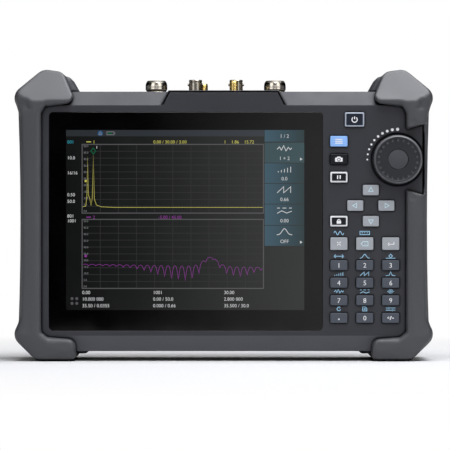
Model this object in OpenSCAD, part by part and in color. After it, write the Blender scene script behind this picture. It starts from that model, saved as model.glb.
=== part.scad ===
// Handheld spectrum analyzer.
// A case of two shells sits between two soft end bumpers. The front carries a glass display,
// a keypad and a push dial. RF jacks stand on the top edge, the back has a fold-out stand and
// a battery door, and the left side has a port bay behind a hinged cover.
// X runs to the right, Z up, and the front faces -Y. It stands on z = 0, centred in X and Y.

/* [Case] */
// Width of the case, inside the side walls of the bumpers
case_w = 286; // [256:1:316]
// Height of the case
case_h = 187.4; // [168:0.2:208]
// Depth of the case, from front panel to back
case_d = 70; // [68:1:80]
// Height of the case's underside above the ground
case_lift = 7.1; // [6.5:0.1:9]
// Corner radius of the case in the front view
case_r = 14; // [10:1:18]
// Wall thickness of both shells
wall = 3; // [2.6:0.1:3.4]
// Thickness of the front panel
panel_t = 4; // [3.6:0.1:4.6]
// Depth of the front shell, from panel to seam
front_d = 19.5; // [18:0.5:21]
// Height of the slope along the panel's top edge
top_slope_h = 10.2; // [8:0.2:11]
// Depth of the slope along the panel's top edge
top_slope_d = 9; // [6:0.5:10]
// Height of the slope along the panel's bottom edge
low_slope_h = 11.3; // [9:0.1:12]
// Depth of the slope along the panel's bottom edge
low_slope_d = 5; // [3:0.5:7]
// Chamfer along the top and bottom edges of the back
back_edge = 6; // [4:0.5:8]
// Thickness of the tongue that joins the shells
tongue_t = 1.3; // [1:0.1:1.5]
// Length of the tongue that joins the shells
tongue_d = 3; // [2:0.5:4]
// Width of the nameplate pad at its foot
pad_w = 90.8; // [70:0.2:110]
// How much narrower the pad is at its top, on each side
pad_taper = 5.6; // [3:0.1:8]
// How far the pad's top stands above the case
pad_rise = 0.65; // [0.3:0.05:1]
// Width of the groove along the pad's edges
pad_line = 1; // [0.6:0.1:1.5]
// Depth of the groove along the pad's edges
pad_line_d = 1.2; // [0.6:0.1:1.5]

/* [Bumpers] */
// How far the bumpers stand out of the front panel
bumper_front = 5; // [4:0.1:6]
// How far the bumpers stand out of the back
bumper_back = 4; // [3:0.1:6]
// Thickness of the bumper on the side, at the waist
side_t = 3.7; // [3.4:0.1:5]
// How much thicker the side is at its ends than at the waist
side_bow = 2; // [1:0.1:3]
// How far the corners stand out beyond the case's sides
corner_out = 8; // [7:0.1:10]
// Height of the top corners above the case
corner_up = 16; // [13:0.1:18]
// Radius of the corners in the front view
corner_r = 9; // [8:0.1:10]
// Width of the lip that covers the edge of the front panel
lip_w = 11.7; // [11:0.1:12.5]
// Reach of the top lobes, inward from the case's side
top_reach = 34.3; // [30:0.1:38]
// Reach of the bottom lobes, inward from the case's side
low_reach = 36.5; // [32:0.1:40]
// Drop of the top lobes below the case's top
top_drop = 9.3; // [8:0.1:11]
// Rise of the bottom lobes above the case's underside
low_rise = 9.2; // [8:0.1:10]
// How far the top lobes' faces lean back
lobe_lean = 10; // [6:0.5:12]
// How far the rear tabs reach past the lobes
tab_reach = 3.6; // [3:0.1:9]
// Rounding of the bumpers' edges
edge_r = 3; // [2:0.1:3.5]
// Half height of the thumb notch beside the dial
notch_half = 20.2; // [19:0.1:22]
// Outward flare of the thumb notch, rise over run
notch_flare = 0.3; // [0.1:0.05:0.4]
// Width of the gap between the case's side and the bumper, in the thumb notch
notch_gap = 1.2; // [0.8:0.1:1.6]
// Depth of that gap behind the floor of the notch
notch_gap_d = 3; // [2:0.5:5]
// Radius of the shallow dimples above and below the notch
dimple_r = 3.4; // [2.5:0.1:4]
// Depth of those dimples
dimple_d = 1; // [0.5:0.1:1.5]

/* [Display] */
// Distance of the glass from the case's left side
glass_left = 17.2; // [16:0.1:20]
// Distance from the glass to the middle of the first key column
glass_keys = 11.7; // [10:0.1:14]
// Height of the glass's lower edge above the case's underside
glass_low = 14.9; // [14:0.1:18]
// Distance of the glass's upper edge below the case's top
glass_top = 15.1; // [14.5:0.1:18]
// Thickness of the glass
glass_t = 2; // [1.5:0.1:2.2]
// Corner radius of the glass
glass_r = 3; // [1:0.5:5]
// Distance from the glass's left edge to the lit area
screen_left = 12.3; // [11:0.1:15]
// Distance from the glass's right edge to the lit area
screen_right = 13.2; // [11:0.1:15]
// Distance from the glass's lower edge to the lit area
screen_low = 14.9; // [12:0.1:17]
// Distance from the glass's upper edge to the lit area
screen_top = 12.9; // [12:0.1:17]
// Thickness of the glass's gasket
gasket_t = 0.5; // [0.3:0.05:0.6]
// Thickness of the display module
lcd_t = 7; // [5:0.5:7.5]
// How far the display module reaches past the lit area
lcd_margin = 6.5; // [4:0.5:6.5]

/* [Keys] */
// Travel of a key
key_travel = 0.8; // [0.5:0.1:0.9]
// How far a key stands out of the panel
key_proud = 1.3; // [1:0.1:1.8]
// Corner radius of a key
key_r = 1; // [0.5:0.1:1.5]
// Rounding of a key's front edges
key_edge = 0.6; // [0.3:0.1:0.8]
// Clearance between a key and its hole
key_gap = 0.3; // [0.2:0.05:0.4]
// Width of a number key
num_w = 12.4; // [11:0.1:13]
// Height of a number key
num_h = 7.3; // [6.5:0.1:8]
// Height of an entry key
entry_h = 9.1; // [8:0.1:10]
// Width of an arrow key
arrow_w = 11.6; // [10:0.1:12.5]
// Height of an arrow key
arrow_h = 7.5; // [6.5:0.1:8.5]
// Width of a function key
func_w = 12.5; // [11:0.1:13]
// Height of a function key
func_h = 7.6; // [6.5:0.1:8.5]
// Width of the power key
power_w = 14; // [12:0.1:15]
// Height of the power key
power_h = 10.3; // [9:0.1:11]
// Distance of the last key column from the case's right side
col_in = 22.8; // [22:0.1:24]
// Pitch of the key columns
col_pitch = 18.65; // [18:0.05:19]
// Height of the lowest number row above the case's underside
row_low = 24.1; // [23.5:0.1:25]
// Distance of the power key below the case's top
power_drop = 20.45; // [19.5:0.05:22]
// Pitch of the number rows; this and the rises below are spread to fill the height
row_pitch = 12.65; // [12:0.05:12.8]
// Rise from the top number row to the entry row
entry_rise = 15.5; // [14:0.1:16]
// Rise from the entry row to the lower arrow and the lock key
arrow_rise = 16.2; // [15:0.1:17]
// Distance of the arrow keys from the centre of their cross
arrow_step = 11.2; // [10.6:0.1:12]
// Distance of the arrow cross from the first key column
arrow_x = 23; // [22:0.1:24]
// Rise from the lock key to the hold key
hold_rise = 31.7; // [30:0.1:33]
// Pitch of the hold, camera and menu keys
func_pitch = 12.9; // [12:0.1:14]
// Rise from the menu key to the power key
power_rise = 15.7; // [14:0.1:16]
// Distance of the power key from the first key column
power_x = 11.3; // [9:0.1:13]

/* [Dial] */
// Radius of the dial
knob_r = 17.5; // [15:0.1:17.7]
// Height of the dial
knob_h = 7.3; // [6.8:0.1:9]
// Gap between the dial and the panel
knob_gap = 0.7; // [0.7:0.05:0.9]
// Distance of the dial from the case's right side
knob_in = 17.8; // [17.6:0.1:18.5]
// Rise from the lock key to the dial
knob_z = 44.35; // [42:0.05:46]
// Width of the gap around the dial in its well
well_gap = 1.5; // [0.5:0.1:2]
// Depth of the well around the dial
well_d = 1.2; // [0.4:0.1:1.4]
// Bevel along the well's edge
well_edge = 0.5; // [0.3:0.1:0.8]
// Radius of the dial's centre cap
cap_r = 7.4; // [6.5:0.1:8]
// Number of grip flutes around the dial
flutes = 48; // [24:4:60]
// Number of dimples on the dial's face
dimples = 22; // [16:1:26]
// Press travel of the dial
knob_travel = 0.5; // [0.3:0.05:0.5]
// Radius of the encoder's shaft
shaft_r = 3; // [2.5:0.1:3]
// Radius of the encoder's bushing
bush_r = 3.5; // [3.5:0.1:4]
// Width of the encoder's body
encoder_w = 13; // [11:0.5:14]
// Depth of the encoder's body
encoder_d = 8; // [7.8:0.1:9]

/* [Jacks] */
// Distance of the jacks' row behind the front panel
jack_back = 35; // [33:0.5:40]
// Distance of the small jacks from the row, one behind it and one ahead of it
sma_off = 9.5; // [9.2:0.1:10.5]
// Left large jack's distance from the case's centre
n_left = 49.2; // [45:0.1:55]
// Right large jack's distance from the case's centre
n_right = 37.4; // [34:0.1:45]
// Outside radius of a large jack's thread
n_r = 7.94; // [7.5:0.01:8.5]
// Height of a large jack above the case
n_h = 9; // [8:0.1:13]
// Left bayonet jack's distance from the case's centre
bnc_left = 20.6; // [20:0.1:25]
// Right bayonet jack's distance from the case's centre
bnc_right = 9.1; // [9:0.1:14]
// Outside radius of a bayonet jack
bnc_r = 4.83; // [4.5:0.01:5]
// Height of a bayonet jack above the case
bnc_h = 9.7; // [9:0.1:14]
// Left small jack's distance from its bayonet jack, along the row
sma_step = 5.8; // [5:0.1:7.5]
// Right small jack's distance from its bayonet jack, along the row
sma_lead = 1.7; // [1.5:0.1:4]
// Outside radius of a small jack
sma_r = 3.17; // [3:0.01:3.3]
// Height of the left small jack above the case
sma_h = 7.2; // [6.5:0.1:10]
// Extra height of the right small jack
sma_more = 1.4; // [0:0.1:3]

/* [Back] */
// Gap between the stand's legs and the battery door
door_side = 4; // [3:0.5:9]
// Gap between the stand's foot and the battery door
door_foot = 3.9; // [3.5:0.1:6]
// Distance of the door's upper edge below the stand's hinge
door_top = 12.1; // [11:0.1:16]
// Thickness of the battery door
door_t = 2.5; // [2:0.1:2.8]
// Width of the ledge that carries the door
door_ledge = 8; // [7:0.5:9]
// Thickness of the battery
battery_t = 20; // [16:0.5:22]
// Outer width of the stand
stand_w = 196; // [176:0.5:216]
// Width of the stand's legs and foot
stand_leg = 14; // [12:0.5:14]
// Thickness of the stand
stand_t = 6; // [5:0.1:6.5]
// Height of the stand's hinge above the case's underside
stand_z = 117; // [115:0.5:125]
// Height of the stand's foot above the case's underside
stand_low = 17; // [16:0.1:17.5]
// Radius of the stand's pins
stand_pin_r = 2; // [1.5:0.1:2.2]

/* [Port bay] */
// Width of the port cover
cover_w = 28; // [26:0.5:32]
// Height of the port cover
cover_h = 62; // [60:0.5:66]
// Thickness of the port cover
cover_t = 4.1; // [3.8:0.1:4.6]
// Height of the cover's lower edge above the case's underside
cover_low = 23.9; // [22:0.1:26]
// Distance of the cover's front edge behind the front panel
cover_back = 22; // [21.5:0.5:24]
// Radius of the cover's hinge pin
cover_pin_r = 1; // [0.8:0.05:1.2]

/* [Hidden] */
$fn = 48;
eps = 0.01;
// How far a cut reaches past what it cuts
over = 1;
// Clearance of pieces that sit in one another, and of the faces that they seat on
fit = 0.2;
seat = 0.1;
// Radial clearance of turning fits
run = 0.05;

// Main planes of the case
x_side = case_w / 2;
z_low = case_lift;
z_top = case_lift + case_h;
z_mid = (z_low + z_top) / 2;
knob_proud = knob_gap + knob_h;
y_front = (knob_proud - bumper_back - case_d) / 2;
y_back = y_front + case_d;
y_in = y_front + panel_t;
y_seam = y_front + front_d;
y_bump0 = y_front - bumper_front;
y_bump1 = y_back + bumper_back;
pad_bevel = 0.6;
pad_line_in = 0.6;
pad_foot = z_top - top_slope_h;
pad_head = z_top + pad_rise;
pad_lean = pad_taper / (pad_head - pad_foot);

// Key columns and rows: the rises fill the height between the lowest row and the power key
col_x = x_side - col_in - 2 * col_pitch;
rise_sum = 3 * row_pitch + entry_rise + arrow_rise + hold_rise + 2 * func_pitch + power_rise;
key_fit = (case_h - row_low - power_drop) / rise_sum;
function col(i) = col_x + i * col_pitch;
function row(i) = z_low + row_low + (3 - i) * row_pitch * key_fit;
entry_z = row(0) + entry_rise * key_fit;
lock_z = entry_z + arrow_rise * key_fit;
hold_z = lock_z + hold_rise * key_fit;
camera_z = hold_z + func_pitch * key_fit;
menu_z = camera_z + func_pitch * key_fit;
power_z = menu_z + power_rise * key_fit;
cross_x = col_x + arrow_x;
cross_z = lock_z + arrow_step * key_fit;
up_z = cross_z + arrow_step * key_fit;

// Display places
glass_x0 = -x_side + glass_left;
glass_x1 = col_x - glass_keys;
glass_w = glass_x1 - glass_x0;
glass_x = (glass_x0 + glass_x1) / 2;
glass_h = case_h - glass_low - glass_top;
glass_z = z_low + glass_low + glass_h / 2;
screen_w = glass_w - screen_left - screen_right;
screen_x = glass_x0 + screen_left + screen_w / 2;
screen_h = glass_h - screen_low - screen_top;
screen_z = z_low + glass_low + screen_low + screen_h / 2;
window_gap = 1;
window_r = 1;
window_w = screen_w + 2 * window_gap;
window_h = screen_h + 2 * window_gap;
gasket_in = 0.5;

// Layers behind the panel
flange = 1;
flange_t = 1;
stem_t = 0.5;
stem_gap = 0.3;
y_flange = y_in + fit;
y_mat = y_flange + flange_t + stem_t + key_travel + stem_gap;
mat_t = 1;
board_t = 1.6;
board_r = 2;
y_keyboard = y_mat + mat_t;
encoder_sink = 1;
y_lcd = y_in + seat;
y_mid = y_in + max(lcd_t, encoder_d - encoder_sink) + 2 * seat;
mid_t = 2;
mid_r = 6;
standoff = 10.8;
standoff_r = 3;
standoff_in = 22;
standoff_low = 22;
standoff_top = 12;
y_board = y_mid + mid_t + standoff + seat;
y_board_back = y_board + board_t;

// Each key is a name, x, z, width and height
ENTRY = ["key_esc", "key_back", "key_enter"];
NUMBERS = [
    ["key_1", "key_2", "key_3"],
    ["key_4", "key_5", "key_6"],
    ["key_7", "key_8", "key_9"],
    ["key_dot", "key_0", "key_sign"],
];
KEYS = concat(
    [
        ["key_power", col_x + power_x, power_z, power_w, power_h],
        ["key_menu", col_x, menu_z, func_w, func_h],
        ["key_camera", col_x, camera_z, func_w, func_h],
        ["key_hold", col_x, hold_z, func_w, func_h],
        ["key_lock", col_x, lock_z, func_w, func_h],
        ["key_up", cross_x, up_z, arrow_w, arrow_h],
        ["key_down", cross_x, lock_z, arrow_w, arrow_h],
        ["key_left", cross_x - arrow_step, cross_z, arrow_w, arrow_h],
        ["key_right", cross_x + arrow_step, cross_z, arrow_w, arrow_h],
    ],
    [for (i = [0:2]) [ENTRY[i], col(i), entry_z, num_w, entry_h]],
    [for (r = [0:3], c = [0:2]) [NUMBERS[r][c], col(c), row(r), num_w, num_h]]
);
LIGHT_KEYS = concat(ENTRY, ["key_up", "key_down", "key_left", "key_right"]);
BLACK_KEYS = ["key_power", "key_camera", "key_hold", "key_lock"];

// Posts of the key board, in the gaps between the keys and beside the power key
post_r = 1.5;
post_side = 14;
power_post_left = 13.3;
power_post_up = 4;
power_post_right = 18;
KEY_POSTS = [
    [col(0) + col_pitch / 2, row(1.5)],
    [col(1) + col_pitch / 2, row(1.5)],
    [col_x + post_side, (hold_z + camera_z) / 2],
    [col_x + power_x - power_post_left, power_z + power_post_up],
    [col_x + power_x + power_post_right, power_z],
];
pad_edge = 3;
board_x0 = col_x - num_w / 2 - pad_edge;
board_x1 = col(2) + num_w / 2 + pad_edge;
board_z0 = row(3) - num_h / 2 - pad_edge;
board_z1 = power_z + power_h / 2 + pad_edge;

// Dial: heights along its axis are from the panel outward
knob_x = x_side - knob_in;
dial_z = lock_z + knob_z * key_fit;
encoder_room = 1.5;
bush_h = 2.6;
bush_lap = 0.4;
nut_h = 2;
nut_r = 5.7;
nut_seat_r = nut_r + 1.2;
hub_wall = 2;
hub_floor = 1;
hub_low = knob_gap + knob_travel + bush_h - bush_lap;
plunger_t = 1.2;
bore_low = -panel_t - encoder_d + encoder_sink;
shaft_low = bore_low + fit + knob_travel + plunger_t + seat;
shaft_lap = 2.8;
shaft_top = hub_low + shaft_lap;
knob_wall = 3;
knob_rim = 2;
knob_step = 0.6;
knob_round = 0.5;
knob_bevel = 1.3;
cap_sink = 1.5;
cap_dome = 0.9;
flute_r = 0.6;
flute_out = 0.3;
flute_low = 0.8;
flute_top = 2.4;
dot_r = 0.9;
dot_sink = 0.45;
dot_out = 1.4;

// Case screws: corner ones and a middle pair
screw_r = 1.5;
head_r = 2.8;
head_h = 2.2;
hex_r = 1.3;
hex_d = 1.2;
boss_r = 4;
boss_gap = 0.5;
sink_d = 30;
screw_in = 21;
screw_up = 13.9;
screw_down = 16.5;
screw_mid_in = 16;
screw_mid_down = 0.8;
tip_gap = 1.5;
screw_x = x_side - screw_in;
screw_low = z_low + screw_up;
screw_top = z_top - screw_down;
screw_mid_x = x_side - screw_mid_in;
screw_mid_z = lock_z - screw_mid_down;
SCREWS = concat(
    [for (sx = [-1, 1], z = [screw_low, screw_top]) [sx * screw_x, z]],
    [for (sx = [-1, 1]) [sx * screw_mid_x, screw_mid_z]]
);
y_head = y_back - sink_d;
y_tip = y_in + tip_gap;

// Back
door_w = stand_w - 2 * (stand_leg + door_side);
door_low = stand_low + stand_leg + door_foot;
door_h = stand_z - door_top - door_low;
door_z = z_low + door_low + door_h / 2;
door_r = 3;
bay_w = door_w - 2 * door_ledge;
bay_h = door_h - 2 * door_ledge;
bay_r = 2;
bay_wall = 1.5;
bay_floor = 2;
y_door = y_back - door_t - seat;
y_battery = y_door - fit - battery_t;
y_bay = y_battery - fit;
door_screw_x = bay_w / 2 + door_ledge / 2;
door_screw_d = 5;
door_head_h = 1.2;
door_ribs = 5;
door_rib_w = 40;
door_rib_h = 1.2;
door_rib_d = 0.6;
door_rib_pitch = 3;
door_rib_top = 8;
stand_gap = 0.5;
stand_top = z_low + stand_z;
stand_foot = z_low + stand_low;
y_hinge = y_back - stand_t / 2;
stand_under = 0.4;
y_channel = y_back - stand_t - stand_under;
rim = 3;
stand_pin_len = stand_leg + 2 * (stand_gap + rim) - 2 * fit;
leg_x = (stand_w - stand_leg) / 2;
scoop_r = 10;
scoop_d = 2;
scoop_w = 30;

// Port bay on the left side; each port is its depth inward, its size in Y and its size in Z
cover_gap = 0.5;
cover_x = x_side + cover_gap;
cover_y0 = y_front + cover_back;
cover_y1 = cover_y0 + cover_w;
cover_z0 = z_low + cover_low;
cover_z1 = cover_z0 + cover_h;
hinge_r = cover_t / 2;
hinge_x = -(cover_x + hinge_r);
hinge_y = cover_y1 - hinge_r;
ear = 3;
ear_gap = 0.4;
grip_r = 5;
grip_d = 1;
grip_h = 16;
jack_in = 0.8;
lan = [21, 13.5, 16];
lan_mouth = [14, 7, 11.8];
lan_sill = 3;
usb = [15, 7, 14.5];
usb_shell = 0.8;
usb_mouth = 9;
usb_tongue = [9, 1.8, 11];
usb_tongue_gap = 0.6;
dc = [14, 11, 11];
dc_socket_r = 3.2;
dc_socket_d = 10;
dc_pin_r = 1;
port_edge = 3;
usb_space = 5;
dc_space = 4;
port_x = -x_side + jack_in;
port_y = y_board_back + seat;
lan_z = cover_z1 - port_edge - lan[2] / 2;
usb_z = lan_z - lan[2] / 2 - usb_space - usb[2] / 2;
dc_z = usb_z - usb[2] / 2 - dc_space - dc[2] / 2;

// Boards and the shielded unit inside
board_side = 4;
board_edge = 2;
boss_room = 1;
rf_space = 10;
rf_drop = 15.5;
rf_side = 20;
rf_d = 19;
rf_ribs = 7;
rf_rib = 2;
rf_rib_edge = 5;
rf_low = door_z + door_h / 2 + rf_space;
rf_top = z_top - wall - rf_drop;

// Jacks: bores in the case's wall, tails below it, flanges, sockets and contacts
jack_y = y_front + jack_back;
n_bore = 6;
n_flange = [n_r + 0.8, 0.9];
n_socket = [4.3, 1.5];
bnc_bore = 4;
bnc_tail = 10;
bnc_flange = [bnc_r + 0.9, 0.8];
bnc_socket = [3.4, 0.7];
lug_r = 1;
lug_out = 0.7;
lug_in = 0.5;
lug_drop = 3.6;
sma_bore = 2.6;
sma_tail = 8;
sma_flange = [sma_r + 0.5, 0.8];
sma_socket = [2.3, 0.6];
SMA = [
    [-bnc_left + sma_step, jack_y + sma_off, sma_h],
    [bnc_right - sma_lead, jack_y - sma_off, sma_h + sma_more],
];

// Bumpers: radii of the discs that they are built around, and their places
disc_n = 24;
side_steps = 6;
side_round = 9;
web_r = 4;
web_in = 1;
tip_r = 5.3;
toe_r = 6;
heel_r = 5;
crown_r = 7;
foot_in = 11;
peak_in = 14;
out_drop = 5;
heel_rise = 12.4;
heel_run = 7;
corner_in = 2;
tab_drop = 8.5;
tab_sink = 1.4;
low_tab = 9;
// Offset that keeps the faces of joined forms apart
skin = 0.3;
// Thumb notch
notch_in = 2;
notch_splay = 2;
notch_floor = 1.5;
dimple_in = 1.2;
dimple_out = 6.5;

// Rectangle with round corners
module rounded_rect(w, h, r) {
    square([w - 2 * r, h], center = true);
    square([w, h - 2 * r], center = true);
    for (sx = [-1, 1], sy = [-1, 1])
        translate([sx * (w / 2 - r), sy * (h / 2 - r)]) circle(r);
}

// Front-view shape drawn in X and Z, as thick as y0 to y1
module along_y(y0, y1) {
    translate([0, y1, 0]) rotate([90, 0, 0]) linear_extrude(y1 - y0) children();
}

// Side-view shape drawn in Y and Z, from x0 to x1
module along_x(x0, x1) {
    translate([x0, 0, 0]) rotate([90, 0, 90]) linear_extrude(x1 - x0) children();
}

// Rounded front-view plate about x, z
module plate(x, z, w, h, r, y0, y1) {
    along_y(y0, y1) translate([x, z]) rounded_rect(w, h, r);
}

// Round rod along Y about x, z
module rod_y(x, z, r, y0, y1) {
    translate([x, y1, z]) rotate([90, 0, 0]) cylinder(h = y1 - y0, r = r);
}

// Side profile of the case, grown at its front, top and bottom, and back
function case_profile(front, side, back) = [
    [y_front - front, z_low + low_slope_h],
    [y_front - front, z_top - top_slope_h],
    [y_front - front + (top_slope_h + side) * top_slope_d / top_slope_h, z_top + side],
    [y_back - back_edge + back - side, z_top + side],
    [y_back + back, z_top - back_edge],
    [y_back + back, z_low + back_edge],
    [y_back - back_edge + back - side, z_low - side],
    [y_front - front + (low_slope_h + side) * low_slope_d / low_slope_h, z_low - side],
];

// Solid case form, grown by the same amounts
module case_form(front, side, back) {
    intersection() {
        plate(0, z_mid, case_w + 2 * side, case_h + 2 * side, case_r + side, y_front - front, y_back + back);
        along_x(-x_side - side, x_side + side) polygon(case_profile(front, side, back));
    }
}

// Slice of space between two depths
module slice(y0, y1) {
    translate([-case_w, y0, -case_h]) cube([2 * case_w, y1 - y0, 3 * case_h]);
}

// Ring of the joint tongue, from the inside of the wall outward
module tongue(t, y0, y1) {
    difference() {
        plate(0, z_mid, case_w - 2 * wall + 2 * t, case_h - 2 * wall + 2 * t, case_r - wall + t, y0, y1);
        plate(0, z_mid, case_w - 2 * wall, case_h - 2 * wall, case_r - wall, y0 - eps, y1 + eps);
    }
}

// Outline of the name pad, drawn in by a margin on its sides and top
module pad_outline(margin) {
    low = pad_foot - wall;
    head = pad_head - margin;
    side = margin * sqrt(1 + pad_lean * pad_lean);
    half_low = pad_w / 2 + pad_lean * wall - side;
    half_head = pad_w / 2 - pad_lean * (head - pad_foot) - side;
    polygon([[-half_low, low], [half_low, low], [half_head, head], [-half_head, head]]);
}

// Raised pad on the slope over the display, left bare, with a groove along its sides and top
module name_pad() {
    difference() {
        intersection() {
            along_y(y_front, y_front + top_slope_d + wall) pad_outline(0);
            along_x(-pad_w, pad_w) polygon([
                [y_front, pad_foot],
                [y_front, pad_head - pad_bevel],
                [y_front + pad_bevel, pad_head],
                [y_front + top_slope_d + wall, pad_head],
                [y_front + top_slope_d + wall, z_top - wall / 2],
            ]);
        }
        along_y(y_front - over, y_front + pad_line_d) difference() {
            pad_outline(pad_line_in);
            pad_outline(pad_line_in + pad_line);
        }
    }
}

module front_shell() {
    color("#3a3b3f") difference() {
        union() {
            difference() {
                intersection() {
                    case_form(0, 0, 0);
                    slice(y_front - over, y_seam);
                }
                intersection() {
                    case_form(-panel_t, -wall, -wall);
                    slice(y_front, y_back);
                }
            }
            name_pad();
            tongue(tongue_t, y_seam - tongue_d, y_seam + tongue_d);
            for (p = SCREWS) rod_y(p[0], p[1], boss_r, y_in - eps, y_mid - seat);
            for (p = KEY_POSTS) rod_y(p[0], p[1], post_r, y_in - eps, y_keyboard);
        }
        plate(glass_x, glass_z, glass_w + 2 * fit, glass_h + 2 * fit, glass_r + fit,
            y_front - over, y_front + glass_t + gasket_t);
        plate(screen_x, screen_z, window_w, window_h, window_r, y_front, y_in + over);
        for (k = KEYS)
            plate(k[1], k[2], k[3] + 2 * key_gap, k[4] + 2 * key_gap, key_r + key_gap,
                y_front - over, y_in + over);
        rod_y(knob_x, dial_z, bush_r + fit, y_front - over, y_in + over);
        dial_well();
        for (p = SCREWS) rod_y(p[0], p[1], screw_r + run, y_tip - seat, y_mid);
    }
}

// Shallow ring around the dial with a bevelled edge; the nut's seat stays level with the panel
module dial_well() {
    r = knob_r + well_gap;
    at_dial() rotate_extrude() polygon([
        [nut_seat_r, over],
        [nut_seat_r, -well_d],
        [r, -well_d],
        [r, -well_edge],
        [r + well_edge + over, over],
    ]);
}

// Outline of the stand, grown by g: a U with its hinge at the top
module stand_shape(g) {
    half = stand_t / 2 + g;
    difference() {
        translate([-stand_w / 2 - g, stand_foot - g])
            square([stand_w + 2 * g, stand_top - stand_foot + half + g]);
        translate([-stand_w / 2 + stand_leg + g, stand_foot + stand_leg + g])
            square([stand_w - 2 * stand_leg - 2 * g, stand_top]);
    }
}

module rear_shell() {
    color("#3f4043") difference() {
        union() {
            difference() {
                intersection() {
                    case_form(0, 0, 0);
                    slice(y_seam + seat, y_back + over);
                }
                difference() {
                    intersection() {
                        case_form(-panel_t, -wall, -wall);
                        slice(y_front, y_back);
                    }
                    battery_walls();
                    along_y(y_channel - rim, y_back) stand_shape(stand_gap + rim);
                }
            }
            for (p = SCREWS) rod_y(p[0], p[1], boss_r, y_mid + mid_t + seat, y_back - wall / 2);
            for (z = [cover_z0 - ear_gap - ear, cover_z1 + ear_gap]) hinge_ear(z);
        }
        tongue(tongue_t + fit, y_seam - over, y_seam + tongue_d + fit);
        battery_space();
        along_y(y_channel, y_back + over) stand_shape(stand_gap);
        finger_scoop();
        for (s = [-1, 1]) stand_pin(s, stand_pin_r + eps, stand_pin_len + fit);
        for (p = SCREWS) {
            rod_y(p[0], p[1], screw_r + fit, y_mid, y_back);
            rod_y(p[0], p[1], head_r + fit, y_head, y_back + over);
        }
        jack_holes();
        port_holes();
        cover_pin(cover_pin_r + eps, eps);
    }
}

// Block around the battery, as deep as the bay and its floor
module battery_walls() {
    plate(0, door_z, door_w + 2 * bay_wall, door_h + 2 * bay_wall, door_r, y_bay - bay_floor, y_back);
}

// Room for the battery, its door and the door's screws
module battery_space() {
    plate(0, door_z, bay_w, bay_h, bay_r, y_bay, y_back);
    plate(0, door_z, door_w + 2 * fit, door_h + 2 * fit, door_r + fit, y_door, y_back + over);
    for (s = [-1, 1]) rod_y(s * door_screw_x, door_z, screw_r + run, y_door - door_screw_d - over, y_back);
}

// Shallow hollow below the stand's foot, for a finger
module finger_scoop() {
    translate([-scoop_w / 2, y_back + scoop_r - scoop_d, stand_foot]) rotate([0, 90, 0])
        cylinder(h = scoop_w, r = scoop_r);
}

module stand_pin(side, r, len) {
    translate([side * leg_x - len / 2, y_hinge, stand_top]) rotate([0, 90, 0]) cylinder(h = len, r = r);
}

// Bores for the jacks in the case's top wall
module jack_holes() {
    for (x = [-n_left, n_right]) jack_hole(x, jack_y, n_bore);
    for (x = [-bnc_left, bnc_right]) jack_hole(x, jack_y, bnc_bore);
    for (p = SMA) jack_hole(p[0], p[1], sma_bore);
}

module jack_hole(x, y, r) {
    translate([x, y, z_top - 2 * wall]) cylinder(h = 3 * wall, r = r + fit);
}

// Openings of the port bay in the left wall
module port_holes() {
    for (p = [[lan, lan_z], [usb, usb_z], [dc, dc_z]]) port_block(p[0], p[1], fit, x_side);
}

// Block of a port's outside size, grown by g, reaching out to x
module port_block(size, z, g, x) {
    translate([-x - eps, port_y - g, z - size[2] / 2 - g])
        cube([x + port_x + size[0], size[1] + 2 * g, size[2] + 2 * g]);
}

// Ear that holds one end of the cover's hinge pin
module hinge_ear(z) {
    translate([hinge_x, hinge_y, z]) cylinder(h = ear, r = hinge_r);
    translate([hinge_x, hinge_y - hinge_r, z]) cube([-hinge_x - x_side + wall / 2, cover_t, ear]);
}

module cover_pin(r, extra) {
    z0 = cover_z0 - ear_gap - ear;
    z1 = cover_z1 + ear_gap + ear;
    translate([hinge_x, hinge_y, z0 - extra]) cylinder(h = z1 - z0 + 2 * extra, r = r);
}

// Disc in the front view with rounded rims, the building stone of the bumpers
function corner_cut(r) = r * (1 - sin(45));
module pill(x, z, r, y0, y1, e) {
    near = corner_cut(e);
    rod_y(x, z, r - e, y0, y1, $fn = disc_n);
    rod_y(x, z, r - near, y0 + near, y1 - near, $fn = disc_n);
    rod_y(x, z, r, y0 + e, y1 - e, $fn = disc_n);
}

// Outer face of the bumper's side at height z: thinnest at the waist
function side_x(z) = x_side + side_t + side_bow * pow((z - z_mid) / (case_h / 2), 2);

// Section of the bumper's side at height z: a lip at front and back, and a round outer face
function side_section(z) = [
    [x_side - lip_w, y_bump0 + edge_r],
    [x_side - lip_w + corner_cut(edge_r), y_bump0 + corner_cut(edge_r)],
    [x_side - lip_w + edge_r, y_bump0],
    [x_side - lip_w / 2, y_bump0],
    [side_x(z) - corner_cut(side_round), y_bump0 + corner_cut(side_round)],
    [side_x(z), y_bump0 + side_round],
    [side_x(z), y_bump1 - side_round],
    [side_x(z) - corner_cut(side_round), y_bump1 - corner_cut(side_round)],
    [x_side - lip_w / 2, y_bump1],
    [x_side - lip_w + edge_r, y_bump1],
    [x_side - lip_w, y_bump1 - edge_r],
];

// Solid through a stack of rings with equal counts of points, each ring counter-clockwise from above
module loft(rings) {
    n = len(rings[0]);
    last = len(rings) - 1;
    walls = [for (k = [0:last - 1], i = [0:n - 1]) let (j = (i + 1) % n, a = k * n, b = a + n)
        each [[a + i, b + i, b + j], [a + i, b + j, a + j]]];
    polyhedron(
        points = [for (ring = rings) each ring],
        faces = concat([[for (i = [0:n - 1]) i]], [[for (i = [n - 1:-1:0]) last * n + i]], walls)
    );
}

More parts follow.
